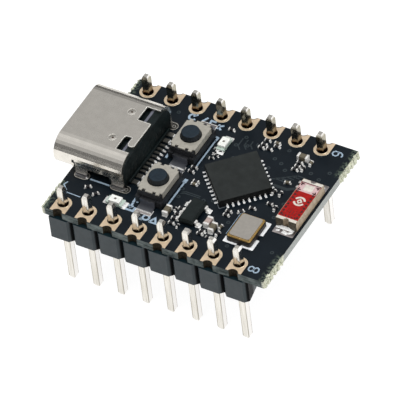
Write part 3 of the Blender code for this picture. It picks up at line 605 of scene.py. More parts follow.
def piece(name, shape, material, smooth=40):
    """One visible piece, built in board millimetres, that rides on the board's body."""
    bmesh.ops.recalc_face_normals(shape, faces=shape.faces)
    mesh = bpy.data.meshes.new(name)
    shape.to_mesh(mesh)
    shape.free()
    mesh.transform(Matrix.Translation(ORIGIN) @ Matrix.Scale(MM, 4))
    mesh.shade_smooth()
    mesh.set_sharp_from_angle(angle=math.radians(smooth))
    mesh.materials.append(material)
    obj = bpy.data.objects.new(name, mesh)
    bpy.context.scene.collection.objects.link(obj)
    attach(obj, "board")
    return obj


# ---------------------------------------------------------------- CAD nodes


def dress(node, material, edge=0.0, segments=2, sharp=35):
    """A CAD node keeps its shape and gets its finish, and softened edges of that many millimetres."""
    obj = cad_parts[node]
    obj.data.materials.clear()
    obj.data.materials.append(material)
    obj.data.shade_smooth()
    obj.data.set_sharp_from_angle(angle=math.radians(sharp))
    if edge:
        bevel = obj.modifiers.new("edge", "BEVEL")
        bevel.width = edge * MM
        bevel.segments = segments
        bevel.limit_method = "ANGLE"
        bevel.angle_limit = math.radians(sharp)
        bevel.harden_normals = True


def dress_nodes():
    dress("pcb", BOARD)
    for row in ("front", "back"):
        dress(f"header_strip_{row}", HEADER, 0.05)
    for name in PIN_NODES:
        dress(name, PIN, 0.03, sharp=15)
    dress("usb_shell", SHELL, 0.07, 3)
    dress("usb_tongue_upper", SOCKET, 0.02)
    dress("usb_tongue_lower", SOCKET, 0.02)
    dress("usb_mid_plate", TERMINAL, 0.01)
    dress("usb_contact_tails", TAILS_SHADE, 0.02)
    for name in ("boot", "reset"):
        dress(f"{name}_switch_base", BASE, 0.02)
        dress(f"{name}_switch_cover", COVER, 0.05, 3)
        dress(f"{name}_button", BUTTON, 0.02)
        dress(f"{name}_switch_dome", SPRING)
        for end in ("front", "back"):
            dress(f"{name}_terminal_{end}", SWITCH_TIN, 0.02)
    dress("processor_chip", EPOXY)
    dress("crystal_base", CRYSTAL, 0.02)
    dress("crystal_seal_ring", GOLD, 0.02)
    dress("crystal_lid", LID, 0.04)
    dress("chip_antenna", ANTENNA, 0.03)
    dress("regulator_body", REGULATOR, 0.03)
    for number in range(1, 6):
        dress(f"regulator_lead_{number}", END_TIN, 0.015)
    for name in ("power", "status"):
        dress(f"{name}_led_base", LED_BODY, 0.02)
        dress(f"{name}_led_lens", LED_LENS)
    for number, finish in enumerate((BROWN, BROWN, PALE_CERAMIC, BROWN), 1):
        dress(f"capacitor_{number}", finish)


# ---------------------------------------------------------------- the bare board

COPPER = 0.018  # height of plated copper over the laminate
INK = 0.012  # height of printed marks
MASKED = 0.012  # height of a track under the solder mask
PAD_HALF = 0.775
PAD_INNER = ROW - 0.75
PAD_OUTER = -PCB_LOW.y - 0.03
HOLE_RADIUS = 0.495
EDGE_CUT = 0.17  # from the board's edge to the middle of its cut holes
EDGE_RADIUS = 0.50
EDGE_MIDDLE = -PCB_LOW.y + EDGE_CUT


def mirrored(points, side):
    """Points on the back row's side, or flipped to the front row's where side is -1."""
    return [(x, side * y) for x, y in points]


def side_of(pin):
    return 1 if pin.y > 0 else -1


def header_pads():
    """Gold pads round the header holes, run out to the cut holes on the board's edge."""
    loops, rims = [], bmesh.new()
    notch = EDGE_RADIUS + 0.04
    dip = math.degrees(math.acos(min((EDGE_CUT + 0.03) / notch, 1.0)))
    for pin in PINS:
        outline = [(pin.x + PAD_HALF, PAD_OUTER), *arc(pin.x, EDGE_MIDDLE, notch, -90 + dip, -90 - dip, 8)]
        outline += [(pin.x - PAD_HALF, PAD_OUTER)]
        outline += arc(pin.x, PAD_INNER + PAD_HALF, PAD_HALF, 180, 360, 12)
        loops.append(mirrored(outline, side_of(pin)))
        loops.append(circle(pin.x, side_of(pin) * ROW, HOLE_RADIUS + 0.02))
        bead(rims, circle(pin.x, pin.y, HOLE_RADIUS + 0.055, 28), 0.035, COPPER)
        inner = arc(pin.x, PAD_INNER + PAD_HALF, PAD_HALF, 180, 360, 16)
        bead(rims, mirrored(inner, side_of(pin)), 0.030, COPPER - 0.008, closed=False)
    piece("header_pads_top", plates(loops, 0.0, COPPER), PAD)
    piece("header_pad_rim_highlights", rims, PAD_RIM_HIGHLIGHT)
    piece("header_pads_under", plates(loops, -THICK - COPPER, -THICK), PAD)


def plated_walls():
    """The copper lining of the header holes, and of the cut holes along both edges, painted dark as shade.
    """
    walls, shape = [], bmesh.new()
    for pin in PINS:
        walls += [circle(pin.x, pin.y, HOLE_RADIUS), circle(pin.x, pin.y, HOLE_RADIUS - 0.032)]
        ring = arc(pin.x, EDGE_MIDDLE, EDGE_RADIUS - 0.005, -158, -22, 10)
        ring += arc(pin.x, EDGE_MIDDLE, EDGE_RADIUS - 0.035, -22, -158, 10)
        ring = mirrored(ring, side_of(pin))
        loft(shape, [[(x, y, z) for x, y in ring] for z in (-THICK - 0.008, 0.010)])
    piece("hole_plating", plates(walls, -THICK - 0.01, 0.012), BARREL_SHADE)
    piece("edge_plating", shape, EDGE_BARREL_SHADE)


def top_tracks():
    """Short runs of copper under the mask, seen beside the chip and the socket."""
    shape = bmesh.new()

    def track(width, *points):
        ribbon(shape, points, width, 0.0, MASKED)

    for k in range(2):
        y = -1.9 - 0.2 * k
        track(0.11, (0.0, y - 0.2), (0.35, y), (1.9, y))
    for k in range(5):
        x, y = 6.35 + 0.42 * k, 2.5 + 0.28 * k
        track(0.12, (x, y), (x + 0.5, y + 0.25), (x + 1.2, y + 0.25))
    track(0.32, (7.0, 2.0), (8.4, 2.0), (9.4, 2.6), (9.4, 3.2))
    for k in range(4):
        x, y = 2.2 + 0.5 * k, 4.6 + 0.25 * k
        track(0.12, (x, y), (x - 0.4, y + 0.4), (x - 0.4, 6.0))
    for x in (-9.6, -8.2):
        track(0.16, (x, 5.6), (x, 6.1), (x + 1.6, 6.3))
    piece("tracks_top", shape, TRACE)


def under_tracks():
    """Copper below the board, each family on a level of its own, and the ends that need a via."""
    shape, ends = bmesh.new(), []

    def track(width, height, *points):
        ribbon(shape, points, width, -THICK - height, -THICK)

    for pin in PINS:
        side = side_of(pin)
        ease = 0.32 * (pin.x - CHIP.x)
        turn_y = side * (5.1 - 0.13 * abs(pin.x - CHIP.x))
        across = math.copysign(min(abs(ease), 1.3), ease)
        bend = Vector((pin.x - across, turn_y - side * abs(ease) * 0.6))
        end = Vector((bend.x, bend.y - side * 0.7))
        track(0.2, 0.016, (pin.x, side * (PAD_INNER - 0.1)), (pin.x, turn_y), bend, end)
        ends.append(end)
    for k in range(6):
        y = -2.6 + 1.1 * k
        track(0.16, 0.010, (-6.5, y), (-3.0 + 0.3 * k, y), (-1.6, y + 0.9), (5.0, y + 0.9))
    track(0.5, 0.022, (8.6, -6.0), (8.6, 6.0))
    piece("tracks_under", shape, TRACE)
    return ends


LOOSE_VIAS = [
    (7.1, 4.0), (6.4, 4.6), (5.6, 4.9), (2.6, 5.3), (1.6, 5.0), (9.0, 0.3), (9.0, -1.5), (6.9, -6.2),
    (3.1, -1.9), (2.3, -2.2), (-0.1, -1.7), (-9.4, 5.9), (-9.9, -3.2), (-6.3, 6.3), (10.9, 5.3),
    (10.9, -5.3), (9.2, 6.9), (-5.1, 6.5), (2.0, 6.2), (6.3, 6.3), (9.4, 4.6), (10.4, 4.2),
]


def vias(spots):
    """Small plated rings under the mask, on both faces."""
    rings = []
    for x, y in map(Vector, spots):
        rings += [circle(x, y, 0.20, 16), circle(x, y, 0.075, 12)]
    piece("via_rings_top", plates(rings, 0.0, 0.016), TRACE)
    piece("via_rings_under", plates(rings, -THICK - 0.018, -THICK), TRACE)


def torn_fibre():
    """Ragged glass fibre left where the board was snapped from its panel."""
    random.seed(11)
    shape = bmesh.new()
    for x, inward in ((PCB_LOW.x, 1), (PCB_HIGH.x, -1)):
        for side in (-1, 1):
            for _ in range(46):
                y = side * random.uniform(5.35, 8.70)
                size = random.uniform(0.05, 0.13)
                depth = random.uniform(0.03, 0.15)
                z = random.uniform(-THICK + 0.06, -0.02)
                reach = x + inward * (depth + 0.02)
                turn = random.uniform(-30, 30)
                low, high = max(z - 0.10, -THICK), min(z + 0.10, 0.02)
                block(shape, reach, y, depth, size, low, high, turn)
    piece("torn_fibre", shape, FIBRE)


# ---------------------------------------------------------------- printed marks

EIGHT = (
    [(0.0, 0.28), (0.1, 0.45), (0.3, 0.5), (0.5, 0.45), (0.6, 0.28), (0.5, 0.1), (0.3, 0.05), (0.1, 0.1),
     (0.0, 0.28)],
    [(0.3, 0.5), (0.08, 0.6), (0.03, 0.76), (0.12, 0.92), (0.3, 0.97), (0.48, 0.92), (0.57, 0.76),
     (0.52, 0.6), (0.3, 0.5)],
)
NINE = (
    [(0.56, 0.62), (0.42, 0.45), (0.2, 0.44), (0.05, 0.58), (0.05, 0.8), (0.2, 0.95), (0.42, 0.95),
     (0.56, 0.8), (0.56, 0.35), (0.46, 0.12), (0.28, 0.03), (0.1, 0.08)],
)


def marks_on_top():
    """Lines beside the switches and the socket, generic icons at the buttons, digits at the rows."""
    shape = bmesh.new()

    def line(width, *points):
        ribbon(shape, points, width, 0.0, INK)

    boot_y, reset_y = centre("boot_button").y, centre("reset_button").y
    x = local("boot_switch_base")[1].x + 0.20
    line(0.17, (x, boot_y - 1.25), (x, boot_y + 1.75))
    line(0.36, (x - 0.02, boot_y + 1.70), (x - 0.02, boot_y + 2.18))
    line(0.15, (x, reset_y - 2.05), (x, reset_y + 1.55))
    line(0.19, (x - 0.30, reset_y + 1.98), (x + 0.05, reset_y + 1.90), (x + 0.02, reset_y + 1.45))
    y = USB_Y - 4.45
    line(0.17, (-8.2, y), (-6.2, y))
    line(0.11, (-10.07, -5.50), (-9.48, -6.05))
    line(0.11, (-10.02, -5.46), (-9.86, -5.10))
    line(0.09, (-9.42, -6.28), (-7.90, -6.33))

    x, y = -3.62, 6.50  # a round arrow for reset, and the strokes beside it
    line(0.21, *arc(x, y, 0.36, 60, 330, 12))
    line(0.18, (x - 0.02, y + 0.10), (x + 0.26, y + 0.36), (x + 0.08, y + 0.64))
    line(0.20, (-2.62, 6.35), (-2.30, 6.95))
    line(0.21, (-1.85, 6.15), (-1.85, 6.75), (-1.35, 6.75))
    line(0.21, (-0.95, 6.05), (-0.95, 6.65))
    line(0.19, (-0.55, 6.05), (-0.95, 6.35), (-0.50, 6.65))

    x, y = -3.25, -5.55  # an arrow down into a tray for boot, and the strokes beside it
    line(0.22, (x - 0.46, y + 0.12), (x - 0.46, y - 0.36), (x + 0.46, y - 0.36), (x + 0.46, y + 0.12))
    line(0.20, (x, y + 0.56), (x, y - 0.06))
    line(0.18, (x - 0.24, y + 0.20), (x, y - 0.04), (x + 0.24, y + 0.20))
    line(0.24, (-3.3, -4.35), (-3.3, -4.95))
    line(0.20, (-2.95, -4.45), (-2.95, -4.85))
    line(0.19, *arc(-1.32, -6.12, 0.30, 0, 360, 12))
    line(0.18, (-0.86, -6.45), (-0.52, -5.85), (-0.18, -6.45), (-0.86, -6.45))
    line(0.24, (-3.35, 1.05), (-3.35, 1.50), (-3.10, 1.62))

    size = 1.05
    for digit, y in ((EIGHT, -8.05), (NINE, 7.35)):
        for points in digit:
            line(0.13, *turned([(u * size, v * size) for u, v in points], 10.95, y, 90))
    piece("printed_marks_top", shape, SILK)


def chip_corner_mark():
    """A faint tick at the chip's first corner."""
    y = CHIP.y - (local("processor_chip")[1].x - CHIP.x) - 0.05
    mark = [(CHIP.x - 0.40, y + 0.28), *arc(CHIP.x, y, 0.10, 215, 325, 4), (CHIP.x + 0.40, y + 0.28)]
    shape = bmesh.new()
    ribbon(shape, mark, 0.050, 0.0, INK)
    piece("chip_corner_mark", shape, CORNER_INK)


def marks_under():
    """A dash at each pin, the socket's outline, and a ring with a diamond."""
    shape = bmesh.new()

    def line(width, *points):
        ribbon(shape, points, width, -THICK - INK, -THICK)

    for pin in PINS:
        y = side_of(pin) * (PAD_INNER - 0.35)
        line(0.12, (pin.x - 0.35, y), (pin.x + 0.35, y))
    line(0.13, (-9.3, -2.8), (-9.3, 3.6), (-4.2, 3.6), (-4.2, -2.8), (-9.3, -2.8))
    line(0.16, *arc(2.0, 0.0, 1.2, 20, 380, 28)[:-2])
    line(0.14, (1.4, 0.0), (2.0, 0.55), (2.6, 0.0), (2.0, -0.55), (1.4, 0.0))
    piece("printed_marks_under", shape, SILK)


# ---------------------------------------------------------------- small parts on the board


def ends_of(x, y, length, width, height, turn, metal, solder):
    """The two tinned ends of a chip component, and the solder that climbs them."""
    end, reach = length * 0.21, 0.05
    for side in (-1, 1):
        at = placed(side * (length - end) / 2, 0, x, y, turn)
        block(metal, *at, end / 2, width / 2, 0.03, height, turn)
        at = placed(side * (length / 2 + reach * 0.5), 0, x, y, turn)
        wet, tip = (reach * 1.1, width * 0.46), (reach * 0.25, width * 0.34)
        fillet(solder, *at, wet, tip, 0.004, height * 0.55, turn, (-side * reach * 0.6, 0.0), 0.04)


def chip_part(x, y, turn, size, body, metal, solder):
    length, width, height = size
    block(body, x, y, length / 2 - 0.02, width / 2 - 0.012, 0.035, height - 0.012, turn, 0.02, 0.02)
    ends_of(x, y, length, width, height, turn, metal, solder)


SIZE_0201 = (0.56, 0.26, 0.25)
SIZE_01005 = (0.42, 0.20, 0.18)

# Chip components by kind: where each one is on the board, and which way it is turned.
RESISTORS = [
    (0.38, 6.43, 0), (3.98, 6.57, 0), (5.10, 6.24, 0), (3.95, 6.00, 0), (7.90, 5.30, 0), (7.95, 4.80, 0),
    (8.20, 1.22, 90), (6.78, -1.35, 8), (5.05, -2.52, 0), (5.05, -3.02, 0), (1.07, -3.95, 0),
    (1.07, -4.62, 0), (1.07, -5.25, 0), (1.10, -5.85, 0), (-6.80, -5.50, 45),
]
CAPACITORS = [
    (4.96, 6.60, 0), (3.86, 5.56, 0), (4.62, 5.66, 0), (8.50, 4.76, 90), (7.90, 4.36, 0), (8.10, 2.68, 12),
    (7.56, 1.18, 80), (7.95, -0.26, 0), (8.62, -0.55, 90), (6.04, -2.10, 45), (5.34, -4.52, 80),
    (5.50, -5.34, 75), (4.10, -5.62, 0), (4.02, -5.96, 0), (0.62, -0.52, 0), (0.62, -0.86, 0),
    (-0.40, 0.40, 0), (-0.38, 0.95, 0), (-7.86, -5.00, 30),
]
TINY = [
    (0.42, 2.62, 20), (0.70, 3.08, -20), (0.36, 3.34, 70), (0.82, 3.66, 10), (0.30, 3.82, 0),
    (4.88, -6.02, 0), (1.76, -5.90, 90), (0.60, -4.20, 90),
]


def lengthways(node):
    """A chip-like node's middle, length, width, turn and top."""
    x, y, half_x, half_y = plan(node)
    turn = 0 if half_x > half_y else 90
    return x, y, 2 * max(half_x, half_y), 2 * min(half_x, half_y), turn, local(node)[1].z


def small_components():
    black, brown, metal, solder = bmesh.new(), bmesh.new(), bmesh.new(), bmesh.new()
    for spot in RESISTORS:
        chip_part(*spot, SIZE_0201, black, metal, solder)
    for number, spot in enumerate(CAPACITORS):
        chip_part(*spot, SIZE_0201, black if number % 5 else brown, metal, solder)
    for spot in TINY:
        chip_part(*spot, SIZE_01005, black, metal, solder)
    chip_part(8.86, 5.62, 90, SIZE_0201, brown, metal, solder)
    for number in range(1, 5):
        x, y, length, width, turn, top = lengthways(f"capacitor_{number}")
        ends_of(x, y, length + 0.03, width + 0.03, top + 0.015, turn, metal, solder)
    piece("small_resistor_bodies", black, BLACK)
    piece("small_capacitor_bodies", brown, BROWN)
    piece("component_ends", metal, END_TIN)
    piece("component_solder", solder, SOLDER)


def processor():
    """The chip's pads on each side, the solder at their walls and toes, and its corner spot."""
    half = (local("processor_chip")[1].x - CHIP.x) / math.sqrt(2)
    pads, solder = bmesh.new(), bmesh.new()

    def at(out, along):
        return placed(half + out, along, CHIP.x, CHIP.y, turn)

    for turn in (45, 135, 225, 315):
        for k in range(8):
            u = (k - 3.5) * 0.5
            block(pads, *at(0.10, u), 0.25, 0.105, 0.0, 0.020, turn, 0.06, 0.008)
            block(solder, *at(0.02, u), 0.03, 0.055, 0.016, 0.22, turn, 0.02, 0.02)
            fillet(solder, *at(0.10, u), (0.10, 0.045), (0.03, 0.025), 0.016, 0.12, turn, (-0.05, 0), 0.02)
            fillet(solder, *at(0.25, u), (0.060, 0.100), (0.03, 0.070), 0.016, 0.050, turn, corner=0.05)
    for turn, along in ((225, -2.23), (315, 2.23)):
        block(pads, *at(0.12, along), 0.16, 0.09, 0.0, 0.022, turn, 0.05, 0.008)
    piece("chip_pads", pads, WHITE_PAD)
    piece("chip_solder", solder, SOLDER)
    dimple = bmesh.new()
    top = local("processor_chip")[1].z
    profile = ((0.20, top - 0.02), (0.20, top + 0.003), (0.17, top + 0.004), (0.15, top + 0.001))
    lathe(dimple, CHIP.x, CHIP.y - half * 1.12, profile, 20)
    piece("chip_corner_spot", dimple, EPOXY)


def crystal():
    """Four pads under the can, a printed corner line, and the gold that shows round the lid."""
    x, y, half_x, half_y = plan("crystal_base")
    left, right = x - half_x - 0.26, x + half_x + 0.30
    bottom, top = y - half_y - 0.20, y + half_y + 0.26
    pads, silk, gold = bmesh.new(), bmesh.new(), bmesh.new()
    for inner_x, outer_x in ((x - 0.12, left), (x + 0.30, right)):
        for inner_y, outer_y in ((y - 0.45, bottom), (y + 0.15, top)):
            half = (abs(outer_x - inner_x) / 2, abs(outer_y - inner_y) / 2)
            middle = ((inner_x + outer_x) / 2, (inner_y + outer_y) / 2)
            block(pads, *middle, *half, 0.0, 0.035, 0, 0.07, 0.018)
    piece("crystal_pads", pads, WHITE_PAD)
    line = left - 0.12
    ribbon(silk, [(line, bottom + 0.9), (line, top + 0.1), (left + 0.5, top + 0.12)], 0.05, 0.0, INK)
    piece("crystal_outline", silk, SILK)
    ring_top = local("crystal_seal_ring")[1].z
    for node, out, lift in (("crystal_seal_ring", -0.025, -0.02), ("crystal_lid", 0.035, 0.012)):
        half_x, half_y = plan(node)[2:]
        loop = rounded(x, y, half_x + out, half_y + out, 0.16, 0, 6)
        bead(gold, loop, 0.024, ring_top + lift, sides=8)
    piece("crystal_gold_edges", gold, GOLD_EDGE)


def antenna_bands(x, y, half_x, half_y, top, inset, strip):
    """The bare ceramic at each end of the antenna's top, hollowed where the solder pulls back."""

    def end_plate(side):
        outline = [(-half_x + inset, -half_y + inset)]
        outline += [(u, max(v, -half_y + inset)) for u, v in arc(0, -half_y, 0.28, 180, 0, 8)]
        outline += [(half_x - inset, -half_y + inset), (half_x - inset, -half_y + strip)]
        outline += [(-half_x + inset, -half_y + strip)]
        return [(x + u * side, y + v * side) for u, v in outline]

    bands = plates([end_plate(1), end_plate(-1)], top - 0.01, top + 0.012)
    piece("antenna_end_bands", bands, CREAM)


def antenna_marks(x, y, half_x, half_y, top, strip):
    """The printed pattern: dark dashes, a pale window, and a generic ring with a diamond."""
    dark, pale, pink = bmesh.new(), bmesh.new(), bmesh.new()
    lift, flat, raised = top + 0.002, top + 0.015, top + 0.027
    low_x, low_y = x - half_x, y - half_y

    def dash(u, v, half_u, half_v, corner):
        block(dark, u, v, half_u, half_v, lift, flat, 0, corner, 0.004)

    for side in (-1, 1):
        for k in range(8):
            dash(x + side * (half_x - 0.24), low_y + 0.66 + 0.42 * k, 0.10, 0.12, 0.06)
    for k in range(5):
        dash(low_x + 0.42 + 0.30 * k, low_y + 0.56, 0.085, 0.075, 0.04)
    for k in range(4):
        u = x - 0.42 + 0.28 * k
        ribbon(dark, [(u, low_y + 0.80), (u + 0.02, low_y + 1.30 + 0.1 * (k % 2))], 0.04, lift, flat)
    window = y + half_y - strip - 0.62
    far_edge = [(low_x + 0.08, window + 0.58), (x + half_x - 0.08, window + 0.58)]
    ribbon(dark, far_edge, 0.07, lift, flat)
    block(pink, x, window, half_x - 0.06, 0.53, lift, flat, 0, 0.06, 0.004)
    block(pale, x, window + 0.04, 0.44, 0.36, lift, raised, 0, 0.08, 0.004)
    for u in (-1, 1):
        for v in (-1, 1):
            corner = ((0.30, 0.10), (0.02, 0.04), (0.10, 0.30))
            line = [(x + u * (half_x - 0.14 - a), window + v * (0.46 - b)) for a, b in corner]
            ribbon(dark, line, 0.12, lift, raised)
    mark_y = y - 0.06
    for start in (20, 200):
        ribbon(pale, arc(x, mark_y, 0.47, start, start + 140, 10), 0.19, lift, flat)
    diamond = ((-0.20, 0.0), (0.0, 0.22), (0.20, 0.0), (0.0, -0.22), (-0.20, 0.0))
    ribbon(pale, turned(diamond, x, mark_y, 0), 0.13, lift, flat)
    piece("antenna_dark_marks", dark, DARK_PRINT)
    piece("antenna_pale_marks", pale, CREAM)
    piece("antenna_window", pink, PINK)


def antenna_joints(x, y, half_x, half_y):
    """The big pads at both ends with their lumpy solder, and two small pads beside the far end."""
    pads, solder = bmesh.new(), bmesh.new()
    lumps = ((-0.62, 0.06, 0.12, 20), (0.10, 0.12, 0.20, -12), (0.58, -0.02, 0.15, 35))
    for side in (-1, 1):
        pad_y = y + side * (half_y + 0.40)
        block(pads, x, pad_y, half_x, 0.44, 0.0, 0.035, 0, 0.08, 0.015)
        for u, v, size, turn in lumps:
            at, wet, tip = (x + u, pad_y + side * v), (size * 1.7, size), (size * 0.8, 0.03)
            fillet(solder, *at, wet, tip, 0.03, 0.08, turn, corner=0.1)
        wet, tip = (half_x * 0.90, 0.16), (half_x * 0.40, 0.03)
        at = (x - 0.1, y + side * (half_y + 0.08))
        fillet(solder, *at, wet, tip, 0.03, 0.24, 0, (0.0, -side * 0.06), 0.1)
    for out, past in ((0.42, 0.30), (0.40, -0.28)):
        at = (x - half_x - out, y + half_y + past)
        block(pads, *at, 0.32, 0.17, 0.0, 0.03, 0, 0.06, 0.01)
        fillet(solder, *at, (0.26, 0.14), (0.12, 0.06), 0.02, 0.12)
    piece("antenna_pads", pads, DULL_SOLDER)
    piece("antenna_solder", solder, SOLDER)


def antenna():
    x, y, half_x, half_y = spot = plan("chip_antenna")
    top = local("chip_antenna")[1].z
    inset, strip = 0.035, 0.36
    antenna_bands(*spot, top, inset, strip)
    u, v = half_x - inset, half_y - strip - 0.01
    red = [(x - u, y - v), (x + u, y - v), (x + u, y + v), (x - u, y + v)]
    piece("antenna_print", plates([red], top - 0.01, top + 0.008), PRINT)
    antenna_marks(*spot, top, strip)
    antenna_joints(*spot)


def regulator():
    """A pad and a climbing fillet of solder at the toe of each lead."""
    solder = bmesh.new()
    for number in range(1, 6):
        x, y, half_x, _ = plan(f"regulator_lead_{number}")
        side = 1 if x > centre("regulator_body").x else -1
        toe = x + side * half_x
        block(solder, toe - side * 0.06, y, 0.26, 0.27, 0.0, 0.026, 0, 0.06, 0.01)
        at, wet, tip = (toe - side * 0.02, y), (0.17, 0.24), (0.03, 0.17)
        fillet(solder, *at, wet, tip, 0.02, 0.155, 0, (-side * 0.05, 0.0), 0.06)
    piece("regulator_solder", solder, SOLDER)


def leds():
    """Each lamp's metal ends, the solder at them, and the die that shows through the resin."""
    metal, solder, die = bmesh.new(), bmesh.new(), bmesh.new()
    for name in ("power", "status"):
        x, y, length, width, turn, top = lengthways(f"{name}_led_base")
        for side in (-1, 1):
            at = placed(side * (length / 2 - 0.10), 0, x, y, turn)
            block(metal, *at, 0.125, width / 2 + 0.012, 0.02, top + 0.012, turn, 0.03, 0.02)
            at = placed(side * (length / 2 + 0.10), 0, x, y, turn)
            wet, tip = (0.24, width * 0.55), (0.03, width * 0.42)
            fillet(solder, *at, wet, tip, 0.004, top * 0.85, turn, (-side * 0.11, 0.0))
        lens_top = local(f"{name}_led_lens")[1].z
        block(die, x, y, 0.11, 0.11, lens_top - 0.02, lens_top + 0.006, turn, 0.04, 0.005)
    piece("led_ends", metal, LED_BODY)
    piece("led_solder", solder, SOLDER)
    piece("led_dies", die, LED_DIE)


def switches():
    """Each terminal's pad, the solder at its toe and the bright edge of the solder round it."""
    pads, solder = bmesh.new(), bmesh.new()
    for name in ("boot", "reset"):
        for end, side in (("front", -1), ("back", 1)):
            x, y, half, half_y = plan(f"{name}_terminal_{end}")
            toe = y + side * half_y
            block(pads, x, toe - side * 0.02, half + 0.06, 0.36, 0.0, 0.030, 0, 0.06, 0.012)
            bead(solder, rounded(x, toe - side * 0.02, half + 0.04, 0.34, 0.06), 0.032, 0.026)
            at, wet, tip = (x, toe + side * 0.03), (half, 0.05), (half - 0.03, 0.02)
            fillet(solder, *at, wet, tip, 0.02, 0.15, 0, (0.0, -side * 0.03), 0.02)
    piece("switch_pads", pads, DULL_SOLDER)
    piece("switch_solder", solder, SOLDER)


# ---------------------------------------------------------------- the socket

WALL = 0.30  # thickness of the shell's sheet
LEGS = ((-9.65, -8.55), (-5.95, -4.82))  # the front and rear legs' ends along X
PEG_X, PEG_Y = -5.75, 2.89  # the moulding's board pegs, from the socket's middle line
DIMPLE_X, DIMPLE_Y = -7.10, 1.73  # the dimples pressed in the shell's top
NARROW, WIDE = 0.24, 0.48  # widths of the contact tails


def moulding():
    """The socket's black moulding: a full-height rear wall, a lower front and a foot on the board."""
    low, high = local("usb_housing")
    inner = high.y - USB_Y
    wall_top, wall_low = SHELL_HIGH.z - WALL - 0.03, 0.37
    front, step, rear = low.x, -5.68, high.x  # the full-height wall starts at the step
    shape = bmesh.new()

    def section(inset, top):
        radius = (wall_top - wall_low) / 2 - inset
        outline = rounded(0, 0, inner - inset, (top - wall_low) / 2, radius, 0, 8)
        return [(u, v + (top + wall_low) / 2) for u, v in outline]

    def span(rows, top):
        loft(shape, [[(x, USB_Y + y, z) for y, z in section(inset, top)] for x, inset in rows])

    def bar(x, y, half_x, half_y, bottom, top, corner, edge):
        block(shape, x, USB_Y + y, half_x, half_y, bottom, top, 0, corner, edge)

    span(((step, 0.09), (step + 0.09, 0.0), (rear - 0.05, 0.0), (rear, 0.05)), wall_top)
    span(((front, 0.30), (step + 0.04, 0.30)), wall_top - 0.30)
    middle, half = (front + rear + 0.03) / 2, (rear - front - 0.07) / 2
    bar(middle, 0, half, 3.66, 0.22, 1.6, 0.05, 0.02)
    for side in (-1, 1):
        bar(middle, side * 3.90, half, 0.23, 0.03, 1.6, 0.05, 0.02)
        peg = ((0.20, low.z), (0.27, low.z + 0.1), (0.27, 0.3))
        lathe(shape, PEG_X, USB_Y + side * PEG_Y, peg, 16)
    # Painted shade: a low black lip behind the rear wall, over the tails' roots, standing in for the shadow
    # there.
    bar(rear + 0.08, 0, 0.10, 3.62, 0.21, 0.50, 0.02, 0.06)
    for k in range(11):
        bar(rear - 0.01, (k - 5) * 0.62, 0.025, 0.10, 0.55, 1.5, 0.02, 0.02)
    wall = piece("usb_moulding", shape, SOCKET)
    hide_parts("usb_housing")

    # Painted highlight: a lighter strip along the top of the moulding's step.
    edge = bmesh.new()
    for low_y, high_y in ((-2.86, -1.10), (1.08, 2.84)):
        line = [(step + 0.11, USB_Y + low_y), (step + 0.11, USB_Y + high_y)]
        ribbon(edge, line, 0.24, wall_top - 0.02, wall_top + 0.006)
    piece("moulding_front_edge_highlight", edge, PLASTIC_HIGHLIGHT)


def leg_joints():
    """The plated slots that the shell's legs go through, with their solder on both faces, the top rings
    painted near black as shade.
    """
    rings, solder, rims = [], bmesh.new(), bmesh.new()
    run_on = ((0.22, 0.22), (0.25, 0.66))  # how far each ring goes on in front of its leg and behind
    for side in (-1, 1):
        y = USB_Y + side * (SHELL_HIGH.y - USB_Y - WALL / 2)
        for (low_x, high_x), (front, rear) in zip(LEGS, run_on):
            middle, half = (low_x - front + high_x + rear) / 2, (high_x + rear - low_x + front) / 2
            leg, leg_half = (low_x + high_x) / 2, (high_x - low_x) / 2
            rings.append(rounded(middle, y, half, 0.50, 0.49, 0, 8))
            rings.append(rounded(leg, y, leg_half + 0.15, 0.30, 0.295, 0, 8))
            bead(rims, rounded(middle, y, half - 0.06, 0.42, 0.41, 0, 8), 0.038, 0.020)
            if rear > 0.5:  # room for the small eye at the rear ring's end
                bead(rims, circle(high_x + 0.24, y, 0.15, 16), 0.035, 0.020)
            wet, tip = (leg_half + 0.12, 0.36), (leg_half + 0.01, 0.17)
            fillet(solder, leg, y, wet, tip, -0.06, 0.34, corner=0.12)
            fillet(solder, leg, y, wet, tip, -THICK + 0.03, -THICK - 0.20, corner=0.2)
    piece("slot_rings_top", plates(rings, 0.0, 0.028), RING_TIN_SHADE)
    piece("slot_rings_under", plates(rings, -THICK - 0.028, -THICK), TERMINAL)
    piece("leg_solder", solder, TERMINAL)
    piece("slot_ring_edges", rims, RIM_TIN)


def leg_relief_shade():
    """The notch where each front leg was sheared from the shell's side, shown by black blocks of painted
    shade.
    """
    shape = bmesh.new()
    x = LEGS[0][0]
    for y in (SHELL_LOW.y, SHELL_HIGH.y):
        block(shape, x - 0.03, y, 0.035, 0.015, 0.60, 1.60, 0, 0.01, 0.02)
        block(shape, x - 0.16, y, 0.12, 0.018, 1.45, 1.76, 0, 0.015)
    piece("leg_relief_shade", shape, SOCKET)


def tail_joints():
    """A pad and solder at the toe of each contact tail: eight narrow ones between four wide ones."""
    toe = local("usb_contact_tails")[1].x
    pads, solder = bmesh.new(), bmesh.new()
    tails = [((k - 3.5) * 0.5, NARROW) for k in range(8)]
    tails += [(side * y, WIDE) for side in (-1, 1) for y in (2.4, 3.2)]
    for y, width in tails:
        half = width / 2
        block(pads, toe + 0.04, USB_Y + y, 0.30, half - 0.005, 0.0, 0.022, 0, 0.05, 0.008)
        at, wet, tip = (toe + 0.08, USB_Y + y), (0.17, half - 0.015), (0.07, half - 0.04)
        fillet(solder, *at, wet, tip, 0.018, 0.16, 0, (-0.03, 0.0), 0.04)
    piece("tail_pads", pads, DULL_SOLDER)
    piece("tail_solder", solder, SOLDER)


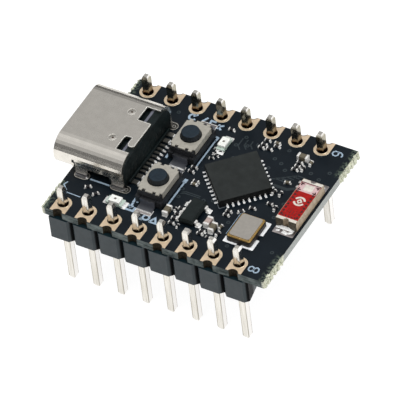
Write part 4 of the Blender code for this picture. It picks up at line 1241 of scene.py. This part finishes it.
def tongue_contacts():
    """Twelve gold strips on each face of the tongue; the power and ground ones start further out."""
    shape = bmesh.new()
    upper, lower = local("usb_tongue_upper"), local("usb_tongue_lower")
    front, rear = upper[0].x, upper[1].x
    for k in range(12):
        y = USB_Y + (k - 5.5) * 0.5
        reach = 0.45 if k in (0, 3, 8, 11) else 0.75
        middle, half = (front + reach + rear) / 2, (rear - front - reach) / 2
        for z, edge in ((upper[1].z, 0.012), (lower[0].z, 0.002)):
            block(shape, middle, y, half, 0.125, z - 0.02, z + 0.02, 0, 0.05, edge)
    piece("tongue_contacts", shape, CONTACT)


def shell_dimples():
    """Two pressed dimples on the shell's top: a dish, its rim as a painted highlight and a dark spot of
    painted shade for the pit in its middle.
    """
    dishes, rims, pit_shade = bmesh.new(), bmesh.new(), bmesh.new()
    x, top = DIMPLE_X, SHELL_HIGH.z
    for y in (USB_Y - DIMPLE_Y, USB_Y + DIMPLE_Y):
        block(dishes, x, y, 0.365, 0.365, top - 0.10, top - 0.024, 0, 0.36, 0.01)
        bead(rims, circle(x, y, 0.385, 28), 0.030, top - 0.014, sides=8)
        block(pit_shade, x + 0.03, y, 0.11, 0.09, top - 0.05, top - 0.019, 0, 0.08, 0.005)
    piece("shell_dimples", dishes, SHELL)
    piece("shell_dimple_rim_highlights", rims, HIGHLIGHT_EDGE)
    piece("shell_dimple_pit_shade", pit_shade, BARREL_SHADE)


def window_edges():
    """Rolled edges that the punch leaves round the shell's openings, and along its rear, painted paler than
    the shell as a painted highlight.
    """
    rear, front = SHELL_HIGH.x, -6.18
    inner, outer = 1.05, 2.88  # the windows' sides, from the socket's middle line
    hook, tip = -5.42, 2.10  # the near window's hook: its root along X and its tip across
    plain_rear = [(rear, -0.9), (rear, inner - 0.02)]
    half = (rear - hook) / 2
    plain = [(rear, inner), (front + 0.06, inner), (front, inner + 0.06), (front, outer - 0.06)]
    plain += [(front + 0.06, outer), (rear, outer)]
    hooked = [(rear - 0.01, -0.9), (rear, -tip + half)]
    hooked += arc(hook + half, -tip + half, half, 0, -180, 8)[1:]
    hooked += [(hook, -inner - 0.05), (hook - 0.05, -inner)]
    hooked += arc(front + 0.25, -inner - 0.25, 0.25, 90, 180, 5)
    hooked += [(front, -outer + 0.05), (front + 0.05, -outer), (rear, -outer)]
    shape = bmesh.new()
    for line in (plain, hooked, plain_rear):
        edge = [(x, y + USB_Y) for x, y in line]
        bead(shape, edge, 0.055, SHELL_HIGH.z - 0.037, closed=False, sides=8)
    piece("shell_window_edge_highlights", shape, HIGHLIGHT_EDGE, smooth=60)


# ---------------------------------------------------------------- camera, light and floor


def camera():
    """The viewing angle, with a long lens, a slight roll and the board a little off centre."""
    azimuth, elevation, roll = math.radians(34.49), math.radians(45.44), math.radians(-7.39)
    distance, shift_right, shift_up = 562.48, 0.624, -2.075
    level = Vector((math.cos(azimuth), math.sin(azimuth), 0))
    away = Vector((math.sin(azimuth), -math.cos(azimuth), 0))
    back = away * math.cos(elevation) + Vector((0, 0, math.sin(elevation)))
    upright = back.cross(level)
    right = level * math.cos(roll) + upright * math.sin(roll)
    up = -level * math.sin(roll) + upright * math.cos(roll)
    place = ORIGIN + (back * distance + right * shift_right + up * shift_up) * MM
    data = bpy.data.cameras.new("camera")
    data.sensor_width = 36
    data.lens = 573.1
    data.clip_start = 0.02
    data.clip_end = 20
    obj = bpy.data.objects.new("camera", data)
    bpy.context.scene.collection.objects.link(obj)
    obj.matrix_world = Matrix.Translation(place) @ Matrix((right, up, back)).transposed().to_4x4()
    bpy.context.scene.camera = obj


def area_light(name, place, target, size, power, mirrored=True):
    """A soft box. Without mirrored it lights the scene but shows in no reflection."""
    data = bpy.data.lights.new(name, "AREA")
    data.shape = "RECTANGLE"
    data.size, data.size_y = size
    data.energy = power
    obj = bpy.data.objects.new(name, data)
    bpy.context.scene.collection.objects.link(obj)
    obj.location = place
    obj.visible_glossy = mirrored
    obj.rotation_euler = (Vector(target) - Vector(place)).to_track_quat("-Z", "Y").to_euler()


# The room's brightness from straight down (0) through level (0.5) to straight up (1).
ROOM = (
    (0.0, 0.98), (0.43, 0.98), (0.50, 0.10), (0.66, 0.13), (0.76, 0.22), (0.83, 0.51), (0.90, 0.56),
    (0.96, 0.85), (1.0, 0.95),
)


def studio_world():
    """A dim room, brighter overhead and below, that the camera itself sees as white."""
    world = bpy.data.worlds.new("studio")
    world.use_nodes = True
    nodes, link = world.node_tree.nodes, world.node_tree.links.new
    coordinate, split = nodes.new("ShaderNodeTexCoord"), nodes.new("ShaderNodeSeparateXYZ")
    lift, ramp = nodes.new("ShaderNodeMapRange"), nodes.new("ShaderNodeValToRGB")
    path, choose = nodes.new("ShaderNodeLightPath"), nodes.new("ShaderNodeMixShader")
    room, white = nodes["Background"], nodes.new("ShaderNodeBackground")
    lift.inputs["From Min"].default_value = -1.0
    lift.inputs["From Max"].default_value = 1.0
    elements = ramp.color_ramp.elements
    for k, (place, level) in enumerate(ROOM):
        element = elements[k] if k < 2 else elements.new(place)
        element.position = place
        element.color = (level, level, level * 1.01, 1.0)
    white.inputs["Color"].default_value = (0.96, 0.96, 0.96, 1.0)
    link(coordinate.outputs["Generated"], split.inputs["Vector"])
    link(split.outputs["Z"], lift.inputs["Value"])
    link(lift.outputs["Result"], ramp.inputs["Fac"])
    link(ramp.outputs["Color"], room.inputs["Color"])
    link(path.outputs["Is Camera Ray"], choose.inputs[0])
    link(room.outputs["Background"], choose.inputs[1])
    link(white.outputs["Background"], choose.inputs[2])
    link(choose.outputs["Shader"], nodes["World Output"].inputs["Surface"])
    bpy.context.scene.world = world


def floor():
    """A pale table, lit a little from within like a light table, so shadows stay faint."""
    shape = bmesh.new()
    bmesh.ops.create_grid(shape, x_segments=8, y_segments=8, size=2.0)
    mesh = bpy.data.meshes.new("floor")
    shape.to_mesh(mesh)
    shape.free()
    obj = bpy.data.objects.new("floor", mesh)
    bpy.context.scene.collection.objects.link(obj)
    mesh.materials.append(
        surface(
            "floor_white", (0.22, 0.22, 0.22), 0.9, mottle=(0.005, 40), grain=(5, 0.01),
            Emission_Color=(1.0, 1.0, 1.0, 1.0), Emission_Strength=0.93,
        )
    )


def studio():
    bpy.context.scene.view_settings.view_transform = "Standard"
    studio_world()
    floor()
    aim = (0, 0, 0.009)
    area_light("overhead", (0.02, -0.02, 0.50), aim, (0.46, 0.46), 1.60, mirrored=False)
    area_light("front", (0.10, -0.55, 0.30), aim, (0.30, 0.20), 0.14)
    area_light("side", (0.48, -0.06, 0.16), aim, (0.30, 0.20), 0.85)


dress_nodes()
header_pads()
plated_walls()
top_tracks()
vias(under_tracks() + LOOSE_VIAS)
marks_on_top()
chip_corner_mark()
marks_under()
small_components()
processor()
crystal()
antenna()
regulator()
leds()
switches()
moulding()
leg_joints()
leg_relief_shade()
tail_joints()
tongue_contacts()
shell_dimples()
window_edges()
torn_fibre()
camera()
studio()
